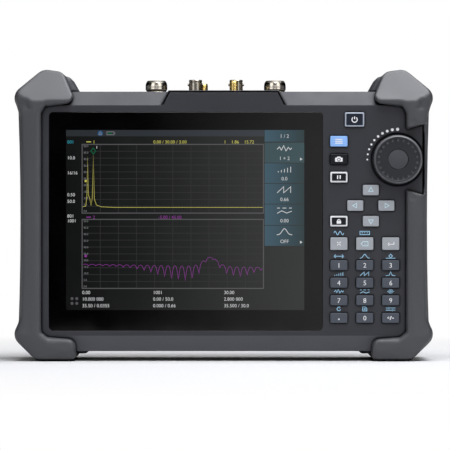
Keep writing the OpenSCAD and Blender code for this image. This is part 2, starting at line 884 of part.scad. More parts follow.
// Bumper of the right end, before its own cut-outs
module bumper_end() {
    x_out = x_side + corner_out - corner_r;
    x_lip = x_side - lip_w;
    x_foot = x_out - foot_in;
    x_peak = x_out - peak_in;
    x_tip = x_side - top_reach + tip_r;
    x_toe = x_side - low_reach + toe_r;
    z_out = z_top - out_drop;
    z_heel = z_low + heel_rise;
    z_peak = z_top + corner_up;
    z_lobe = z_top - top_drop;
    z_sill = z_low + low_rise;
    side_low = z_sill + web_r;
    side_top = z_lobe - web_r;
    levels = [for (i = [0:side_steps]) side_low + (side_top - side_low) * i / side_steps];
    lean0 = y_bump0 + lobe_lean;
    lean1 = y_bump1 - lobe_lean / 2;
    in0 = y_bump0 + corner_in;
    in1 = y_bump1 - corner_in;
    run0 = in0 + web_in;
    run1 = in1 - web_in;
    difference() {
        union() {
            // Side, from the bottom lobe to the top lobe
            loft([for (z = levels) [for (p = side_section(z)) [p[0], p[1], z]]]);
            // Top lobe, with a face that leans back
            hull() {
                pill(x_out, z_out, corner_r, in0, in1, 2 * edge_r);
                pill(x_peak, z_peak - corner_r, corner_r, lean0, lean1, edge_r);
                pill(x_tip + crown_r, z_peak - crown_r - web_in, crown_r, lean0, lean1, edge_r);
                pill(x_tip, z_lobe + tip_r, tip_r, y_bump0, y_bump1, edge_r);
                pill(x_lip - web_r, z_lobe + web_r, web_r, y_bump0, y_bump1, edge_r);
            }
            // Shoulder and heel: the corners' bulges run out into the side
            hull() {
                pill(x_out, z_out, corner_r - skin, in0, in1, 2 * edge_r);
                pill(side_x(side_top) - toe_r - skin, side_top - web_in, toe_r, run0, run1, edge_r);
            }
            hull() {
                pill(x_out, z_heel, corner_r - skin, in0, in1, 2 * edge_r);
                pill(side_x(side_low) - toe_r - skin, side_low + heel_run, toe_r, run0, run1, edge_r);
            }
            // Web between the top lobe and the side
            hull() {
                pill(x_lip - web_in, z_lobe + web_r - web_in, web_r, y_bump0, y_bump1, edge_r);
                pill(x_lip + web_r + skin, side_top - 2 * web_in, web_r, y_bump0, y_bump1, edge_r);
                pill(x_out - web_r, z_out, web_r, y_bump0, y_bump1, edge_r);
            }
            // Bottom corner and bottom lobe, flat underneath
            hull() {
                pill(x_out, z_heel, corner_r, in0, in1, 2 * edge_r);
                pill(x_foot, corner_r, corner_r, in0, in1, edge_r);
                pill(x_lip - web_r - skin, z_sill - web_r, web_r, y_bump0, y_bump1, edge_r);
                pill(x_lip + web_r + skin, side_low - web_in, web_r, y_bump0, y_bump1, edge_r);
            }
            hull() {
                pill(x_foot, corner_r, corner_r, in0, in1, edge_r);
                pill(x_lip - web_r - skin, z_sill - web_r, web_r, y_bump0, y_bump1, edge_r);
                pill(x_toe, z_sill - toe_r, toe_r, y_bump0, y_bump1, edge_r);
                pill(x_toe - web_in, heel_r, heel_r, in0, in1, edge_r);
            }
            // Tabs of the rear half, further in than the lobes
            hull() {
                pill(x_peak, z_peak - corner_r - web_in, corner_r - web_in, y_seam, lean1 - skin, edge_r);
                pill(x_tip, z_peak - tab_drop, web_r, y_seam, lean1 - skin, edge_r);
                pill(x_tip - tip_r - tab_reach + web_r, z_top - tab_sink, web_r, y_seam, in1, edge_r);
                pill(x_lip, z_top - tab_sink, web_r, y_seam, in1, edge_r);
            }
            hull() {
                pill(x_lip, z_low + 2 * tab_sink, web_r, y_seam, in1 - skin, edge_r);
                pill(x_toe - toe_r - low_tab + web_r, z_low + tab_sink, web_r, y_seam, in1 - skin, edge_r);
            }
        }
        case_form(fit, fit, fit);
    }
}

// Cut for the thumb beside the dial, wider at the front, with a gap along the case's side
module thumb_notch() {
    x0 = x_side - lip_w - notch_in;
    x1 = x_side + corner_out + notch_in;
    flare = notch_flare * (x1 - x0);
    hull() {
        for (s = [[y_bump0 - over, notch_splay], [y_front + notch_floor, 0]])
            along_y(s[0] - eps, s[0]) polygon([
                [x0, dial_z - notch_half - s[1]],
                [x0, dial_z + notch_half + s[1]],
                [x1, dial_z + notch_half + flare + s[1]],
                [x1, dial_z - notch_half - flare - s[1]],
            ]);
    }
    translate([x_side - over, y_front, dial_z - notch_half])
        cube([over + notch_gap, notch_floor + notch_gap_d, 2 * notch_half]);
}

// Shallow dimples in the bumper's face, above and below the notch
module notch_dimples() {
    r = (dimple_r * dimple_r + dimple_d * dimple_d) / (2 * dimple_d);
    x = x_side - lip_w / 2 - dimple_in;
    for (s = [-1, 1])
        translate([x, y_bump0 - r + dimple_d, dial_z + s * (notch_half + dimple_out)]) sphere(r, $fn = disc_n);
}

module left_bumper() {
    color("#4a4b4d") difference() {
        mirror([1, 0, 0]) bumper_end();
        translate([-2 * x_side, cover_y0 - ear_gap, cover_z0 - 2 * ear_gap - ear])
            cube([x_side + over, cover_w + 2 * ear_gap, cover_h + 4 * ear_gap + 2 * ear]);
    }
}

module right_bumper() {
    color("#4a4b4d") difference() {
        bumper_end();
        thumb_notch();
        notch_dimples();
    }
}

module display_glass() {
    color("#08080a") plate(glass_x, glass_z, glass_w, glass_h, glass_r, y_front, y_front + glass_t);
}

module display_gasket() {
    y0 = y_front + glass_t;
    color("#202022") difference() {
        plate(glass_x, glass_z, glass_w - 2 * gasket_in, glass_h - 2 * gasket_in, glass_r, y0, y0 + gasket_t);
        plate(screen_x, screen_z, window_w, window_h, window_r, y0 - over, y0 + gasket_t + over);
    }
}

module lcd_module() {
    color("#303236")
        plate(screen_x, screen_z, screen_w + 2 * lcd_margin, screen_h + 2 * lcd_margin, window_r,
            y_lcd, y_lcd + lcd_t);
}

// Cast frame behind the display, with standoffs for the main board
module mid_frame() {
    w = 2 * (screw_mid_x + boss_r);
    z0 = screw_low - boss_r;
    z1 = screw_top + boss_r;
    hole = encoder_w + 2 * encoder_room;
    x1 = screw_x - standoff_in;
    color("#9a9da0") difference() {
        union() {
            plate(0, (z0 + z1) / 2, w, z1 - z0, mid_r, y_mid, y_mid + mid_t);
            for (x = [-x1, 0, x1], z = [z0 + standoff_low, z1 - standoff_top])
                rod_y(x, z, standoff_r, y_mid, y_mid + mid_t + standoff);
        }
        plate(knob_x, dial_z, hole, hole, window_r, y_mid - over, y_mid + mid_t + over);
        for (p = SCREWS) rod_y(p[0], p[1], screw_r + fit, y_mid - over, y_mid + mid_t + over);
    }
}

// Front-view plate over the keypad, cut away at the encoder and the screw bosses
module keypad_sheet(y0, y1) {
    hole = encoder_w + 2 * encoder_room;
    difference() {
        plate((board_x0 + board_x1) / 2, (board_z0 + board_z1) / 2, board_x1 - board_x0, board_z1 - board_z0,
            board_r, y0, y1);
        translate([knob_x - hole / 2, y0 - over, dial_z - hole / 2]) cube([hole, y1 - y0 + 2 * over, hole]);
        for (p = SCREWS) rod_y(p[0], p[1], boss_r + boss_gap, y0 - over, y1 + over);
    }
}

module key_mat() {
    color("#55585e") difference() {
        keypad_sheet(y_mat, y_mat + mat_t);
        for (p = KEY_POSTS) rod_y(p[0], p[1], post_r + fit, y_mat - over, y_mat + mat_t + over);
    }
}

module key_board() {
    color("#1f5a3a") keypad_sheet(y_keyboard, y_keyboard + board_t);
}

// Key cap with rounded front edges, a flange behind the panel and a stem towards the mat
module key_shape(k) {
    x = k[1];
    z = k[2];
    w = k[3];
    h = k[4];
    y0 = y_front - key_proud;
    depth = y_flange - y0;
    intersection() {
        plate(x, z, w, h, key_r, y0, y_flange + eps);
        along_x(x - w, x + w) edge_profile(y0, depth, z, h);
        translate([0, 0, z - h]) linear_extrude(2 * h) mirror([1, -1]) edge_profile(y0, depth, x, w);
    }
    plate(x, z, w + 2 * flange, h + 2 * flange, key_r, y_flange, y_flange + flange_t);
    rod_y(x, z, h / 4, y_flange + flange_t - eps, y_flange + flange_t + stem_t);
}

// Section of a key across its width: depth along the first axis, rounded at the front
module edge_profile(y0, depth, mid, width) {
    e = key_edge;
    translate([y0 + e, mid - width / 2]) square([depth, width]);
    translate([y0, mid - width / 2 + e]) square([depth, width - 2 * e]);
    for (s = [-1, 1]) translate([y0 + e, mid + s * (width / 2 - e)]) circle(e);
}

function among(name, list) = len([for (n = list) if (n == name) n]) > 0;
function key_color(name) =
    among(name, LIGHT_KEYS) ? "#a5a7ac"
    : among(name, BLACK_KEYS) ? "#18191c"
    : name == "key_menu" ? "#7aa9f5"
    : "#4a4d55";

module key(k) {
    color(key_color(k[0])) key_shape(k);
}

// Turned shape standing on the panel at the dial, its axis pointing to the front
module at_dial() {
    translate([knob_x, y_front, dial_z]) rotate([90, 0, 0]) children();
}

module encoder() {
    color("#8d8f92") difference() {
        at_dial() {
            translate([-encoder_w / 2, -encoder_w / 2, -panel_t - seat - encoder_d])
                cube([encoder_w, encoder_w, encoder_d]);
            translate([0, 0, -panel_t - seat - encoder_sink])
                cylinder(h = panel_t + seat + encoder_sink + bush_h, r = bush_r);
        }
        at_dial() translate([0, 0, bore_low - seat])
            cylinder(h = seat - bore_low + bush_h + over, r = shaft_r + run);
    }
}

module encoder_nut() {
    color("#b9bbbd") at_dial() translate([0, 0, seat]) difference() {
        cylinder(h = nut_h - seat, r = nut_r, $fn = 6);
        translate([0, 0, -over]) cylinder(h = nut_h + 2 * over, r = bush_r + run);
    }
}

module encoder_plunger() {
    color("#d8d8d4") at_dial() translate([0, 0, shaft_low - seat - plunger_t])
        cylinder(h = plunger_t, r = shaft_r - seat);
}

module encoder_shaft() {
    color("#c4c6c8") at_dial() translate([0, 0, shaft_low]) cylinder(h = shaft_top - shaft_low, r = shaft_r);
}

// Dial: a rim with flutes and a dimpled face, hollow over the encoder's nut
module knob() {
    face = knob_proud - knob_step;
    hollow_r = knob_r - knob_wall;
    cap_floor = knob_proud - cap_sink;
    color("#2c2d30") at_dial() difference() {
        rotate_extrude() polygon([
            [shaft_r + eps, hub_low],
            [shaft_r + hub_wall, hub_low],
            [shaft_r + hub_wall, hub_low + hub_floor],
            [hollow_r, hub_low + hub_floor],
            [hollow_r, knob_gap],
            [knob_r - knob_round, knob_gap],
            [knob_r, knob_gap + knob_round],
            [knob_r, knob_proud - knob_round - knob_bevel],
            [knob_r - knob_round, knob_proud - knob_round],
            [knob_r - knob_bevel, knob_proud],
            [knob_r - knob_rim, knob_proud],
            [knob_r - knob_rim - knob_step, face],
            [cap_r + fit, face],
            [cap_r + fit, cap_floor],
            [shaft_r + eps, cap_floor],
        ]);
        for (i = [0:flutes - 1]) rotate(i * 360 / flutes)
            translate([knob_r + flute_out, 0, knob_gap + flute_low])
                cylinder(h = knob_h - flute_low - flute_top, r = flute_r);
        for (i = [0:dimples - 1]) rotate((i + 0.5) * 360 / dimples)
            translate([(cap_r + knob_r) / 2 + dot_out, 0, face + dot_sink]) sphere(dot_r);
    }
}

// Domed cap in the middle of the dial
module knob_cap() {
    low = knob_proud - cap_sink + seat;
    steps = 6;
    color("#3c3d40") at_dial() rotate_extrude() polygon(concat(
        [[0, low], [cap_r, low]],
        [for (i = [steps:-1:0]) [cap_r * i / steps, knob_proud - cap_dome * pow(i / steps, 2)]]
    ));
}

module main_board() {
    z0 = screw_low + boss_r + boss_room;
    z1 = rf_top - board_edge;
    x0 = port_x + board_side;
    x1 = screw_mid_x - boss_r - board_edge;
    color("#1d4f35") difference() {
        plate((x0 + x1) / 2, (z0 + z1) / 2, x1 - x0, z1 - z0, board_r, y_board, y_board_back);
        for (p = SCREWS) rod_y(p[0], p[1], boss_r + boss_room, y_board - over, y_board_back + over);
    }
}

// Shielded RF unit on the back of the main board, with a ribbed lid
module rf_module() {
    w = n_left + n_right + 2 * rf_side;
    x0 = -n_left - rf_side;
    pitch = w / (rf_ribs + 1);
    color("#b4b6b8") {
        plate(x0 + w / 2, (rf_low + rf_top) / 2, w, rf_top - rf_low, board_r,
            y_board_back + seat, y_board_back + rf_d);
        for (i = [1:rf_ribs])
            translate([x0 + i * pitch - rf_rib / 2, y_board_back + rf_d - eps, rf_low + rf_rib_edge])
                cube([rf_rib, rf_rib, rf_top - rf_low - 2 * rf_rib_edge]);
    }
}

// Jack on the case's top: tail through the wall, flange, barrel with bevelled ends, socket and contact.
// The flange is its radius and height, and the socket its radius and its contact's radius.
module jack(x, y, tail_z, bore, flange, barrel_r, height, socket) {
    bevel = barrel_r / 8;
    socket_low = height / 3;
    contact_low = socket_low - over;
    contact_top = height * 3 / 4;
    translate([x, y, z_top]) {
        difference() {
            union() {
                translate([0, 0, tail_z - z_top]) cylinder(h = z_top - tail_z + over, r = bore);
                translate([0, 0, seat]) cylinder(h = flange[1] - seat, r = flange[0]);
                rotate_extrude() polygon([
                    [0, flange[1] - eps],
                    [barrel_r - bevel, flange[1] - eps],
                    [barrel_r, flange[1] + bevel],
                    [barrel_r, height - bevel],
                    [barrel_r - bevel, height],
                    [0, height],
                ]);
            }
            translate([0, 0, socket_low]) cylinder(h = height, r = socket[0]);
        }
        translate([0, 0, contact_low]) cylinder(h = contact_top - contact_low, r = socket[1]);
    }
}

module n_jack(x) {
    color("#b8b6b0") jack(x, jack_y, rf_top + seat, n_bore, n_flange, n_r, n_h, n_socket);
}

module bnc_jack(x) {
    color("#b0b0ae") {
        jack(x, jack_y, z_top - bnc_tail, bnc_bore, bnc_flange, bnc_r, bnc_h, bnc_socket);
        for (s = [-1, 1]) translate([x + s * (bnc_r - lug_in), jack_y, z_top + bnc_h - lug_drop])
            rotate([0, s * 90, 0]) cylinder(h = lug_in + lug_out, r = lug_r);
    }
}

module sma_jack(p) {
    color("#c9a24a") jack(p[0], p[1], z_top - sma_tail, sma_bore, sma_flange, sma_r, p[2], sma_socket);
}

module n_jack_left() { n_jack(-n_left); }
module n_jack_right() { n_jack(n_right); }
module bnc_jack_left() { bnc_jack(-bnc_left); }
module bnc_jack_right() { bnc_jack(bnc_right); }
module sma_jack_left() { sma_jack(SMA[0]); }
module sma_jack_right() { sma_jack(SMA[1]); }

// Network socket: a box with a rectangular mouth
module lan_jack() {
    color("#a9abad") difference() {
        port_block(lan, lan_z, 0, -port_x);
        translate([port_x - over, port_y + lan_sill, lan_z - lan_mouth[2] / 2])
            cube([lan_mouth[0] + over, lan_mouth[1], lan_mouth[2]]);
    }
}

// Data socket: a thin-walled box with a tongue
module usb_jack() {
    color("#b5b7b9") {
        difference() {
            port_block(usb, usb_z, 0, -port_x);
            translate([port_x - over, port_y + usb_shell, usb_z - usb[2] / 2 + usb_shell])
                cube([usb_mouth + over, usb[1] - 2 * usb_shell, usb[2] - 2 * usb_shell]);
        }
        translate([port_x + over, port_y + usb_shell + usb_tongue_gap, usb_z - usb_tongue[2] / 2])
            cube(usb_tongue);
    }
}

// Power inlet: a block with a round socket and a centre pin
module dc_jack() {
    mid_y = port_y + dc[1] / 2;
    color("#1c1c1e") {
        difference() {
            port_block(dc, dc_z, 0, -port_x);
            translate([port_x - over, mid_y, dc_z]) rotate([0, 90, 0])
                cylinder(h = dc_socket_d + over, r = dc_socket_r);
        }
        translate([port_x + over, mid_y, dc_z]) rotate([0, 90, 0]) cylinder(h = dc_socket_d, r = dc_pin_r);
    }
}

// Cover over the ports, with a hinge barrel along its rear edge and a finger lip at the front
module port_cover() {
    mid_z = (cover_z0 + cover_z1) / 2;
    color("#434446") difference() {
        union() {
            translate([-cover_x - cover_t, cover_y0, cover_z0]) cube([cover_t, cover_w - hinge_r, cover_h]);
            translate([hinge_x, hinge_y, cover_z0]) cylinder(h = cover_h, r = hinge_r);
        }
        cover_pin(cover_pin_r + run, over);
        translate([-cover_x - cover_t - grip_r + grip_d, cover_y0, mid_z - grip_h / 2])
            cylinder(h = grip_h, r = grip_r);
    }
}

module port_cover_pin() {
    color("#a8aaac") cover_pin(cover_pin_r, 0);
}

module battery_pack() {
    color("#2a2c30")
        plate(0, door_z, bay_w - 2 * fit, bay_h - 2 * fit, bay_r, y_battery, y_battery + battery_t);
}

// Battery door with screw holes and grip ribs along its upper edge
module battery_door() {
    rib_z = door_z + door_h / 2 - door_rib_top;
    color("#3a3b3e") difference() {
        plate(0, door_z, door_w, door_h, door_r, y_door + seat, y_back);
        for (s = [-1, 1]) {
            rod_y(s * door_screw_x, door_z, screw_r + fit, y_door - over, y_back + over);
            rod_y(s * door_screw_x, door_z, head_r + fit, y_back - door_head_h, y_back + over);
        }
        for (i = [0:door_ribs - 1])
            translate([-door_rib_w / 2, y_back - door_rib_d, rib_z - i * door_rib_pitch])
                cube([door_rib_w, door_rib_d + over, door_rib_h]);
    }
}

// Screw driven from the back, its head's top at y
module screw(x, z, y, length) {
    difference() {
        union() {
            rod_y(x, z, head_r, y - head_h, y);
            rod_y(x, z, screw_r, y - head_h - length, y - head_h + eps);
        }
        rod_y(x, z, hex_r, y - hex_d, y + over, $fn = 6);
    }
}

module battery_door_screws() {
    color("#8f9194") for (s = [-1, 1]) {
        rod_y(s * door_screw_x, door_z, head_r, y_back - door_head_h + seat, y_back - seat);
        rod_y(s * door_screw_x, door_z, screw_r, y_door - door_screw_d, y_back - door_head_h + seat + eps);
    }
}

module case_screws() {
    color("#8f9194") for (p = SCREWS) screw(p[0], p[1], y_head + head_h + seat, y_head - y_tip);
}

// Stand: two legs with round hinge ends and a foot between them
module kickstand() {
    color("#37383b") difference() {
        union() {
            along_y(y_back - stand_t, y_back) difference() {
                translate([-stand_w / 2, stand_foot]) square([stand_w, stand_top - stand_foot]);
                translate([-stand_w / 2 + stand_leg, stand_foot + stand_leg])
                    square([stand_w - 2 * stand_leg, stand_top]);
            }
            for (s = [-1, 1]) translate([s * leg_x - stand_leg / 2, y_hinge, stand_top]) rotate([0, 90, 0])
                cylinder(h = stand_leg, r = stand_t / 2);
        }
        for (s = [-1, 1]) stand_pin(s, stand_pin_r + run, stand_leg + 2 * over);
    }
}

module kickstand_pins() {
    color("#a8aaac") for (s = [-1, 1]) stand_pin(s, stand_pin_r, stand_pin_len);
}

front_shell();
rear_shell();
left_bumper();
right_bumper();
display_glass();
display_gasket();
lcd_module();
mid_frame();
key_mat();
key_board();
encoder();
encoder_nut();
encoder_plunger();
encoder_shaft();
knob();
knob_cap();
main_board();
rf_module();
n_jack_left();
n_jack_right();
bnc_jack_left();
bnc_jack_right();
sma_jack_left();
sma_jack_right();
lan_jack();
usb_jack();
dc_jack();
port_cover();
port_cover_pin();
battery_pack();
battery_door();
battery_door_screws();
kickstand();
kickstand_pins();
case_screws();
for (k = KEYS) key(k);
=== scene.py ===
"""Dresses a packed handheld spectrum analyzer: finishes, soft bumpers, jacks, keys, lit screen and stage."""
import math

import bmesh
import bpy
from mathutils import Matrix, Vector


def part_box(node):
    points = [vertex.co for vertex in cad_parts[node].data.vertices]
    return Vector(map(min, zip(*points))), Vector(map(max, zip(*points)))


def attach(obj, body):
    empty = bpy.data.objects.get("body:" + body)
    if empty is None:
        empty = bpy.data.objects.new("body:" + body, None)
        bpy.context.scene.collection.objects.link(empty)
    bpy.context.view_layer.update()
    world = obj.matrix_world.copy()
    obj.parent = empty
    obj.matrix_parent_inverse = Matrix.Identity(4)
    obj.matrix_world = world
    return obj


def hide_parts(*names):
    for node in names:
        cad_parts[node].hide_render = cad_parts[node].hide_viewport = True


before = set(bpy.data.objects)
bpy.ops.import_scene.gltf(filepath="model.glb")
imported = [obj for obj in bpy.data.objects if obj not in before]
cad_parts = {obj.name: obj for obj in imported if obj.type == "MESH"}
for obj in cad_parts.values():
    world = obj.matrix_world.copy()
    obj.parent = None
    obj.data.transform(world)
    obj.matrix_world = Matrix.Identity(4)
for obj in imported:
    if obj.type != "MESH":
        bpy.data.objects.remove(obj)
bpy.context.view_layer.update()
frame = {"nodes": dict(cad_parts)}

bl_info = {
    "name": "Handheld spectrum analyzer",
    "version": (1, 0, 0),
    "blender": (4, 5, 0),
    "location": "3D View > Sidebar > Analyzer",
    "description": "Finishes, marks, screen and stage for a handheld spectrum analyzer",
    "category": "Object",
}

MM = 0.001
# Height of a capital, as a share of the typeface's size
CAP_SHARE = 0.72
# Degrees that the faces of the top lobes lean back
LOBE_LEAN = 32.5
# Lamps: place, aim, width and height in metres, and power in watts
LAMPS = {
    "overhead": ((0.25, -0.25, 1.3), (0.0, 0.0, 0.15), (1.2, 0.9), 27.0),
    "front": ((0.0, -2.5, 0.79), (0.0, 0.0, 0.2), (2.2, 0.9), 7.0),
}
LAMP_TINT = (0.95, 0.96, 1.0)
WHITE = (1.0, 1.0, 1.0, 1.0)
BLACK = (0.0, 0.0, 0.0, 1.0)
# Stage, in metres: half the floor's width, where it fades out, and the dark sheet's start and lift
FLOOR_HALF = 12.0
FADE = (0.17, 0.5)
SHEET_START = 0.5
SHEET_LIFT = 0.002
# Glow in front of the object: half width of its rise, brightness, and its ends on the right and on top
GLOW_RISE = 0.16
GLOW = 0.58
GLOW_RIGHT = (0.5, 0.35)
GLOW_TOP = (0.315, 0.275)
# Strips of light beside the camera: distance from the middle, half width, soft edge, brightness and ends
STRIP_MIDDLE = 1.55
STRIP_HALF = 0.66
STRIP_EDGE = 0.15
STRIP_GLOW = 1.7
STRIP_FOOT = (0.12, 0.2)
STRIP_TOP = (2.4, 2.0)
# The glow and the strips start between these depths, in front of the object
SHINE_FRONT = (-0.3, -0.6)
# Share of the white surround's light that falls on the object
ROOM_LIGHT = 0.2
# Scales of the screen's fine dots and of the smears on glossy faces
DISPLAY_DOTS = 1465.0
SMEARS = 40.0
# Layers of the screen's picture, above its ground
FIELD, LINES, TEXT, TRACE, MARK = range(1, 6)
# How many dots there are around the dial
DOTS = 10

NUMBER_KEYS = {
    "key_1": "1", "key_2": "2", "key_3": "3", "key_4": "4", "key_5": "5", "key_6": "6",
    "key_7": "7", "key_8": "8", "key_9": "9", "key_dot": ".", "key_0": "0", "key_sign": "+/-",
}
PLUS_MINUS = [[(-2.4, 0.2), (-0.9, 0.2)], [(-1.65, -0.55), (-1.65, 0.95)], [(-0.5, -1.4), (0.45, 1.4)],
              [(0.9, -0.1), (2.3, -0.1)]]
LIGHT_KEYS = ("key_up", "key_down", "key_left", "key_right", "key_esc", "key_back", "key_enter")
ENTRY_KEYS = ("key_esc", "key_back")


def shade(code):
    """Linear colour of a hex code that is written as it looks on a display."""
    parts = [int(code[i:i + 2], 16) / 255 for i in (1, 3, 5)]
    linear = [c / 12.92 if c <= 0.04045 else ((c + 0.055) / 1.055) ** 2.4 for c in parts]
    return (*linear, 1.0)


def length(name, description, mm):
    """A length that a user may change, its default given in millimetres."""
    return bpy.props.FloatProperty(
        name=name, description=description, default=mm * MM, min=0.0, precision=5, unit="LENGTH")


def colour(name, description, code):
    """A colour that a user may change, its default given as a hex code."""
    return bpy.props.FloatVectorProperty(
        name=name, description=description, default=shade(code), size=4, min=0.0, max=1.0, subtype="COLOR")


class AnalyzerSizes(bpy.types.PropertyGroup):
    """Sizes of the marks, the lit area, the bumpers' rounding and the stage."""
    screen_left: length("Screen left margin", "From the left edge of the glass to the lit area", 12.3)
    screen_right: length("Screen right margin", "From the lit area to the right edge of the glass", 13.2)
    screen_low: length("Screen low margin", "From the lower edge of the glass to the lit area", 14.9)
    screen_top: length("Screen top margin", "From the lit area to the top edge of the glass", 12.9)
    ink: length("Ink thickness", "How far a printed or lit mark stands proud", 0.03)
    ink_step: length("Ink step", "Thickness of each further layer of marks", 0.02)
    digit_h: length("Digit height", "Height of the numbers on the keys", 3.5)
    icon_line: length("Icon line", "Line width of the signs on the keys", 0.6)
    legend_w: length("Legend width", "Width of the signs above the keys", 7.2)
    legend_line: length("Legend line", "Line width of the signs above the keys", 0.52)
    legend_rise: length("Legend rise", "From the middle of a number key to its sign", 6.45)
    entry_rise: length("Entry legend rise", "From the middle of an entry key to its sign", 7.65)
    power_w: length("Power face width", "Width of the dark face of the power key", 11.9)
    power_h: length("Power face height", "Height of the dark face of the power key", 8.3)
    framed_w: length("Framed face width", "Width of the dark face of the hold and lock keys", 10.1)
    framed_h: length("Framed face height", "Height of the dark face of the hold and lock keys", 5.3)
    # Height up to which the panel's low slope is painted paler, as light from below
    lit_slope_h: length("Lit slope height", "Height of the panel's rubbed low slope", 30.0)
    # Width of the band at the dial's edge that is painted paler as a highlight
    knob_rim: length("Dial rim", "Width of the dial's paler edge", 1.4)
    dot_ring: length("Dot ring", "Radius of the row of dots around the dial", 21.8)
    dot_big: length("Largest dot", "Diameter of the dot above the dial", 2.3)
    dot_small: length("Smallest dot", "Diameter of the dot left of the dial", 1.2)
    lobe_crease: length("Lobe crease", "Height where the faces of the top lobes start to lean back", 187.2)
    bumper_voxel: length("Bumper detail", "Size of the grid that the bumpers are rounded on", 0.9)
    card_gap: length("Card distance", "From the origin to the dark ring around the scene", 2600.0)
    camera_gap: length("Camera distance", "From the panel to the camera", 2200.0)
    view_w: length("View width", "Width of the view at the panel", 324.0)
    view_x: length("View centre", "Sideways place of the camera", 0.94)
    view_z: length("View height", "Height of the camera", 98.1)


class AnalyzerColours(bpy.types.PropertyGroup):
    """Colours of the pieces, the marks and the screen."""
    panel: colour("Panel", "Front half of the case", "#2b2c32")
    # The panel's low slope is painted paler, as light from below
    scuffed: colour("Lit low slope", "Low slope of the panel, rubbed where it stands", "#4b4c52")
    case: colour("Case", "Rear half of the case, stand and door", "#393a3d")
    bumper: colour("Bumper", "Soft end bumpers and port cover", "#3c3d41")
    glass: colour("Glass", "Black edge of the display glass", "#020203")
    knob: colour("Knob", "Dial", "#2b2c2f")
    # The dial's edge and dimples are painted paler, as highlights
    knob_rim: colour("Knob rim", "Edge of the dial", "#5b5c60")
    knob_dimple: colour("Knob dimples", "Dimples in the face of the dial", "#5a5b60")
    cap: colour("Cap", "Middle of the dial", "#46474b")
    light_key: colour("Light key", "Arrow and entry keys", "#a4a8ae")
    dark_key: colour("Dark key", "Number keys", "#4d525b")
    black_key: colour("Black key", "Camera key and faces of the hold and lock keys", "#15171c")
    power_face: colour("Power face", "Face of the power key", "#1b2230")
    menu_key: colour("Menu key", "Blue key", "#8fbbfb")
    key_rim: colour("Key rim", "Body of the framed keys", "#e4e5e8")
    power_rim: colour("Power rim", "Body of the power key", "#aab2c0")
    white: colour("White mark", "Numbers and dots", "#f2f2f4")
    pale: colour("Pale mark", "Signs on the light keys", "#c9e2ea")
    legend: colour("Legend", "Signs above the keys", "#a2d2ee")
    nickel: colour("Nickel", "Large jacks", "#ded6c8")
    gold: colour("Gold", "Small jacks and contacts", "#f0d284")
    steel: colour("Plated steel", "Screws, pins and shields", "#a9abae")
    alloy: colour("Cast alloy", "Frame and shielded unit inside", "#b4b6b8")
    board: colour("Board", "Circuit boards", "#1d6b45")
    rubber: colour("Seal", "Gasket and key mat", "#242426")
    black: colour("Black plastic", "Power inlet and battery", "#1d1d1f")
    cream: colour("White plastic", "Plunger and insulators", "#e6e2d6")
    screen: colour("Screen", "Dark ground at the left of the screen", "#121313")
    screen_pale: colour("Screen right", "Dark ground at the right of the screen", "#2b2c2c")
    bar: colour("Status bar", "Left end of the bar along the top of the screen", "#2a2e31")
    bar_pale: colour("Status bar right", "Right end of the bar along the top", "#363b42")
    text: colour("Screen text", "Plain numbers on the screen", "#c6c7c9")
    scale: colour("Scale", "Small numbers along the graphs", "#77787a")
    grid: colour("Grid", "Grid lines of the graphs", "#303031")
    frame: colour("Frame", "Frames of the graphs", "#525254")
    left_soft: colour("Soft key left", "Left end of the soft keys", "#3a5563")
    right_soft: colour("Soft key right", "Right end of the soft keys", "#28383b")
    chosen: colour("Chosen soft key", "Soft key in use", "#374c51")
    trace: colour("First trace", "Upper trace and its labels", "#bdb75a")
    second: colour("Second trace", "Lower trace and its labels", "#82378a")
    marker: colour("Marker", "Marker on the upper trace", "#125236")
    cyan: colour("Cyan label", "Label at the top left", "#2d95a5")
    sign: colour("Round sign", "Round sign in the status bar", "#28507c")


def sizes():
    """Sizes set on the scene."""
    return bpy.context.scene.analyzer_sizes


def colours():
    """Colours set on the scene."""
    return bpy.context.scene.analyzer_colours


def dim(tone, share):
    """A tone made darker or lighter."""
    return (*[min(1.0, c * share) for c in tone[:3]], 1.0)


def feed(tree, node, inputs):
    """Sets a node's inputs, given as values or as sockets to link from."""
    for key, value in inputs.items():
        if isinstance(value, bpy.types.NodeSocket):
            tree.links.new(value, node.inputs[key])
        else:
            node.inputs[key].default_value = value


def wire(tree, kind, inputs=None, **settings):
    """Adds a node with its inputs and settings."""
    node = tree.nodes.new(kind)
    for key, value in settings.items():
        setattr(node, key, value)
    feed(tree, node, inputs or {})
    return node


def mix(tree, share, first, second):
    """Colour between two others."""
    node = wire(tree, "ShaderNodeMix", {0: share, 6: first, 7: second}, data_type="RGBA")
    return node.outputs[2]


def span(tree, value, low, high, new_low=0.0, new_high=1.0):
    """A value moved from one range to another, and held inside it."""
    inputs = {"Value": value, "From Min": low, "From Max": high, "To Min": new_low, "To Max": new_high}
    return wire(tree, "ShaderNodeMapRange", inputs).outputs["Result"]


def calc(tree, operation, *values):
    """Result of a sum or another step on one or two values."""
    return wire(tree, "ShaderNodeMath", dict(enumerate(values)), operation=operation).outputs["Value"]


def times(tree, first, *others):
    """Product of several values."""
    for value in others:
        first = calc(tree, "MULTIPLY", first, value)
    return first


def seen_rays(tree):
    """One for what the camera sees, straight or in gloss and glass, and nought for light on the object."""
    rays = wire(tree, "ShaderNodeLightPath").outputs
    shown = calc(tree, "MAXIMUM", rays["Is Camera Ray"], rays["Is Glossy Ray"])
    return calc(tree, "MAXIMUM", shown, rays["Is Transmission Ray"])


def place_on(tree):
    """Place on the object, which a pattern follows."""
    return wire(tree, "ShaderNodeTexCoord").outputs["Object"]


def noise(tree, place, scale, detail):
    """Value of a cloudy pattern."""
    inputs = {"Vector": place, "Scale": scale, "Detail": detail}
    return wire(tree, "ShaderNodeTexNoise", inputs).outputs["Fac"]


def new_material(name):
    """A material with nodes, its tree and its shader."""
    material = bpy.data.materials.new(name)
    material.use_nodes = True
    tree = material.node_tree
    return material, tree, tree.nodes["Principled BSDF"]


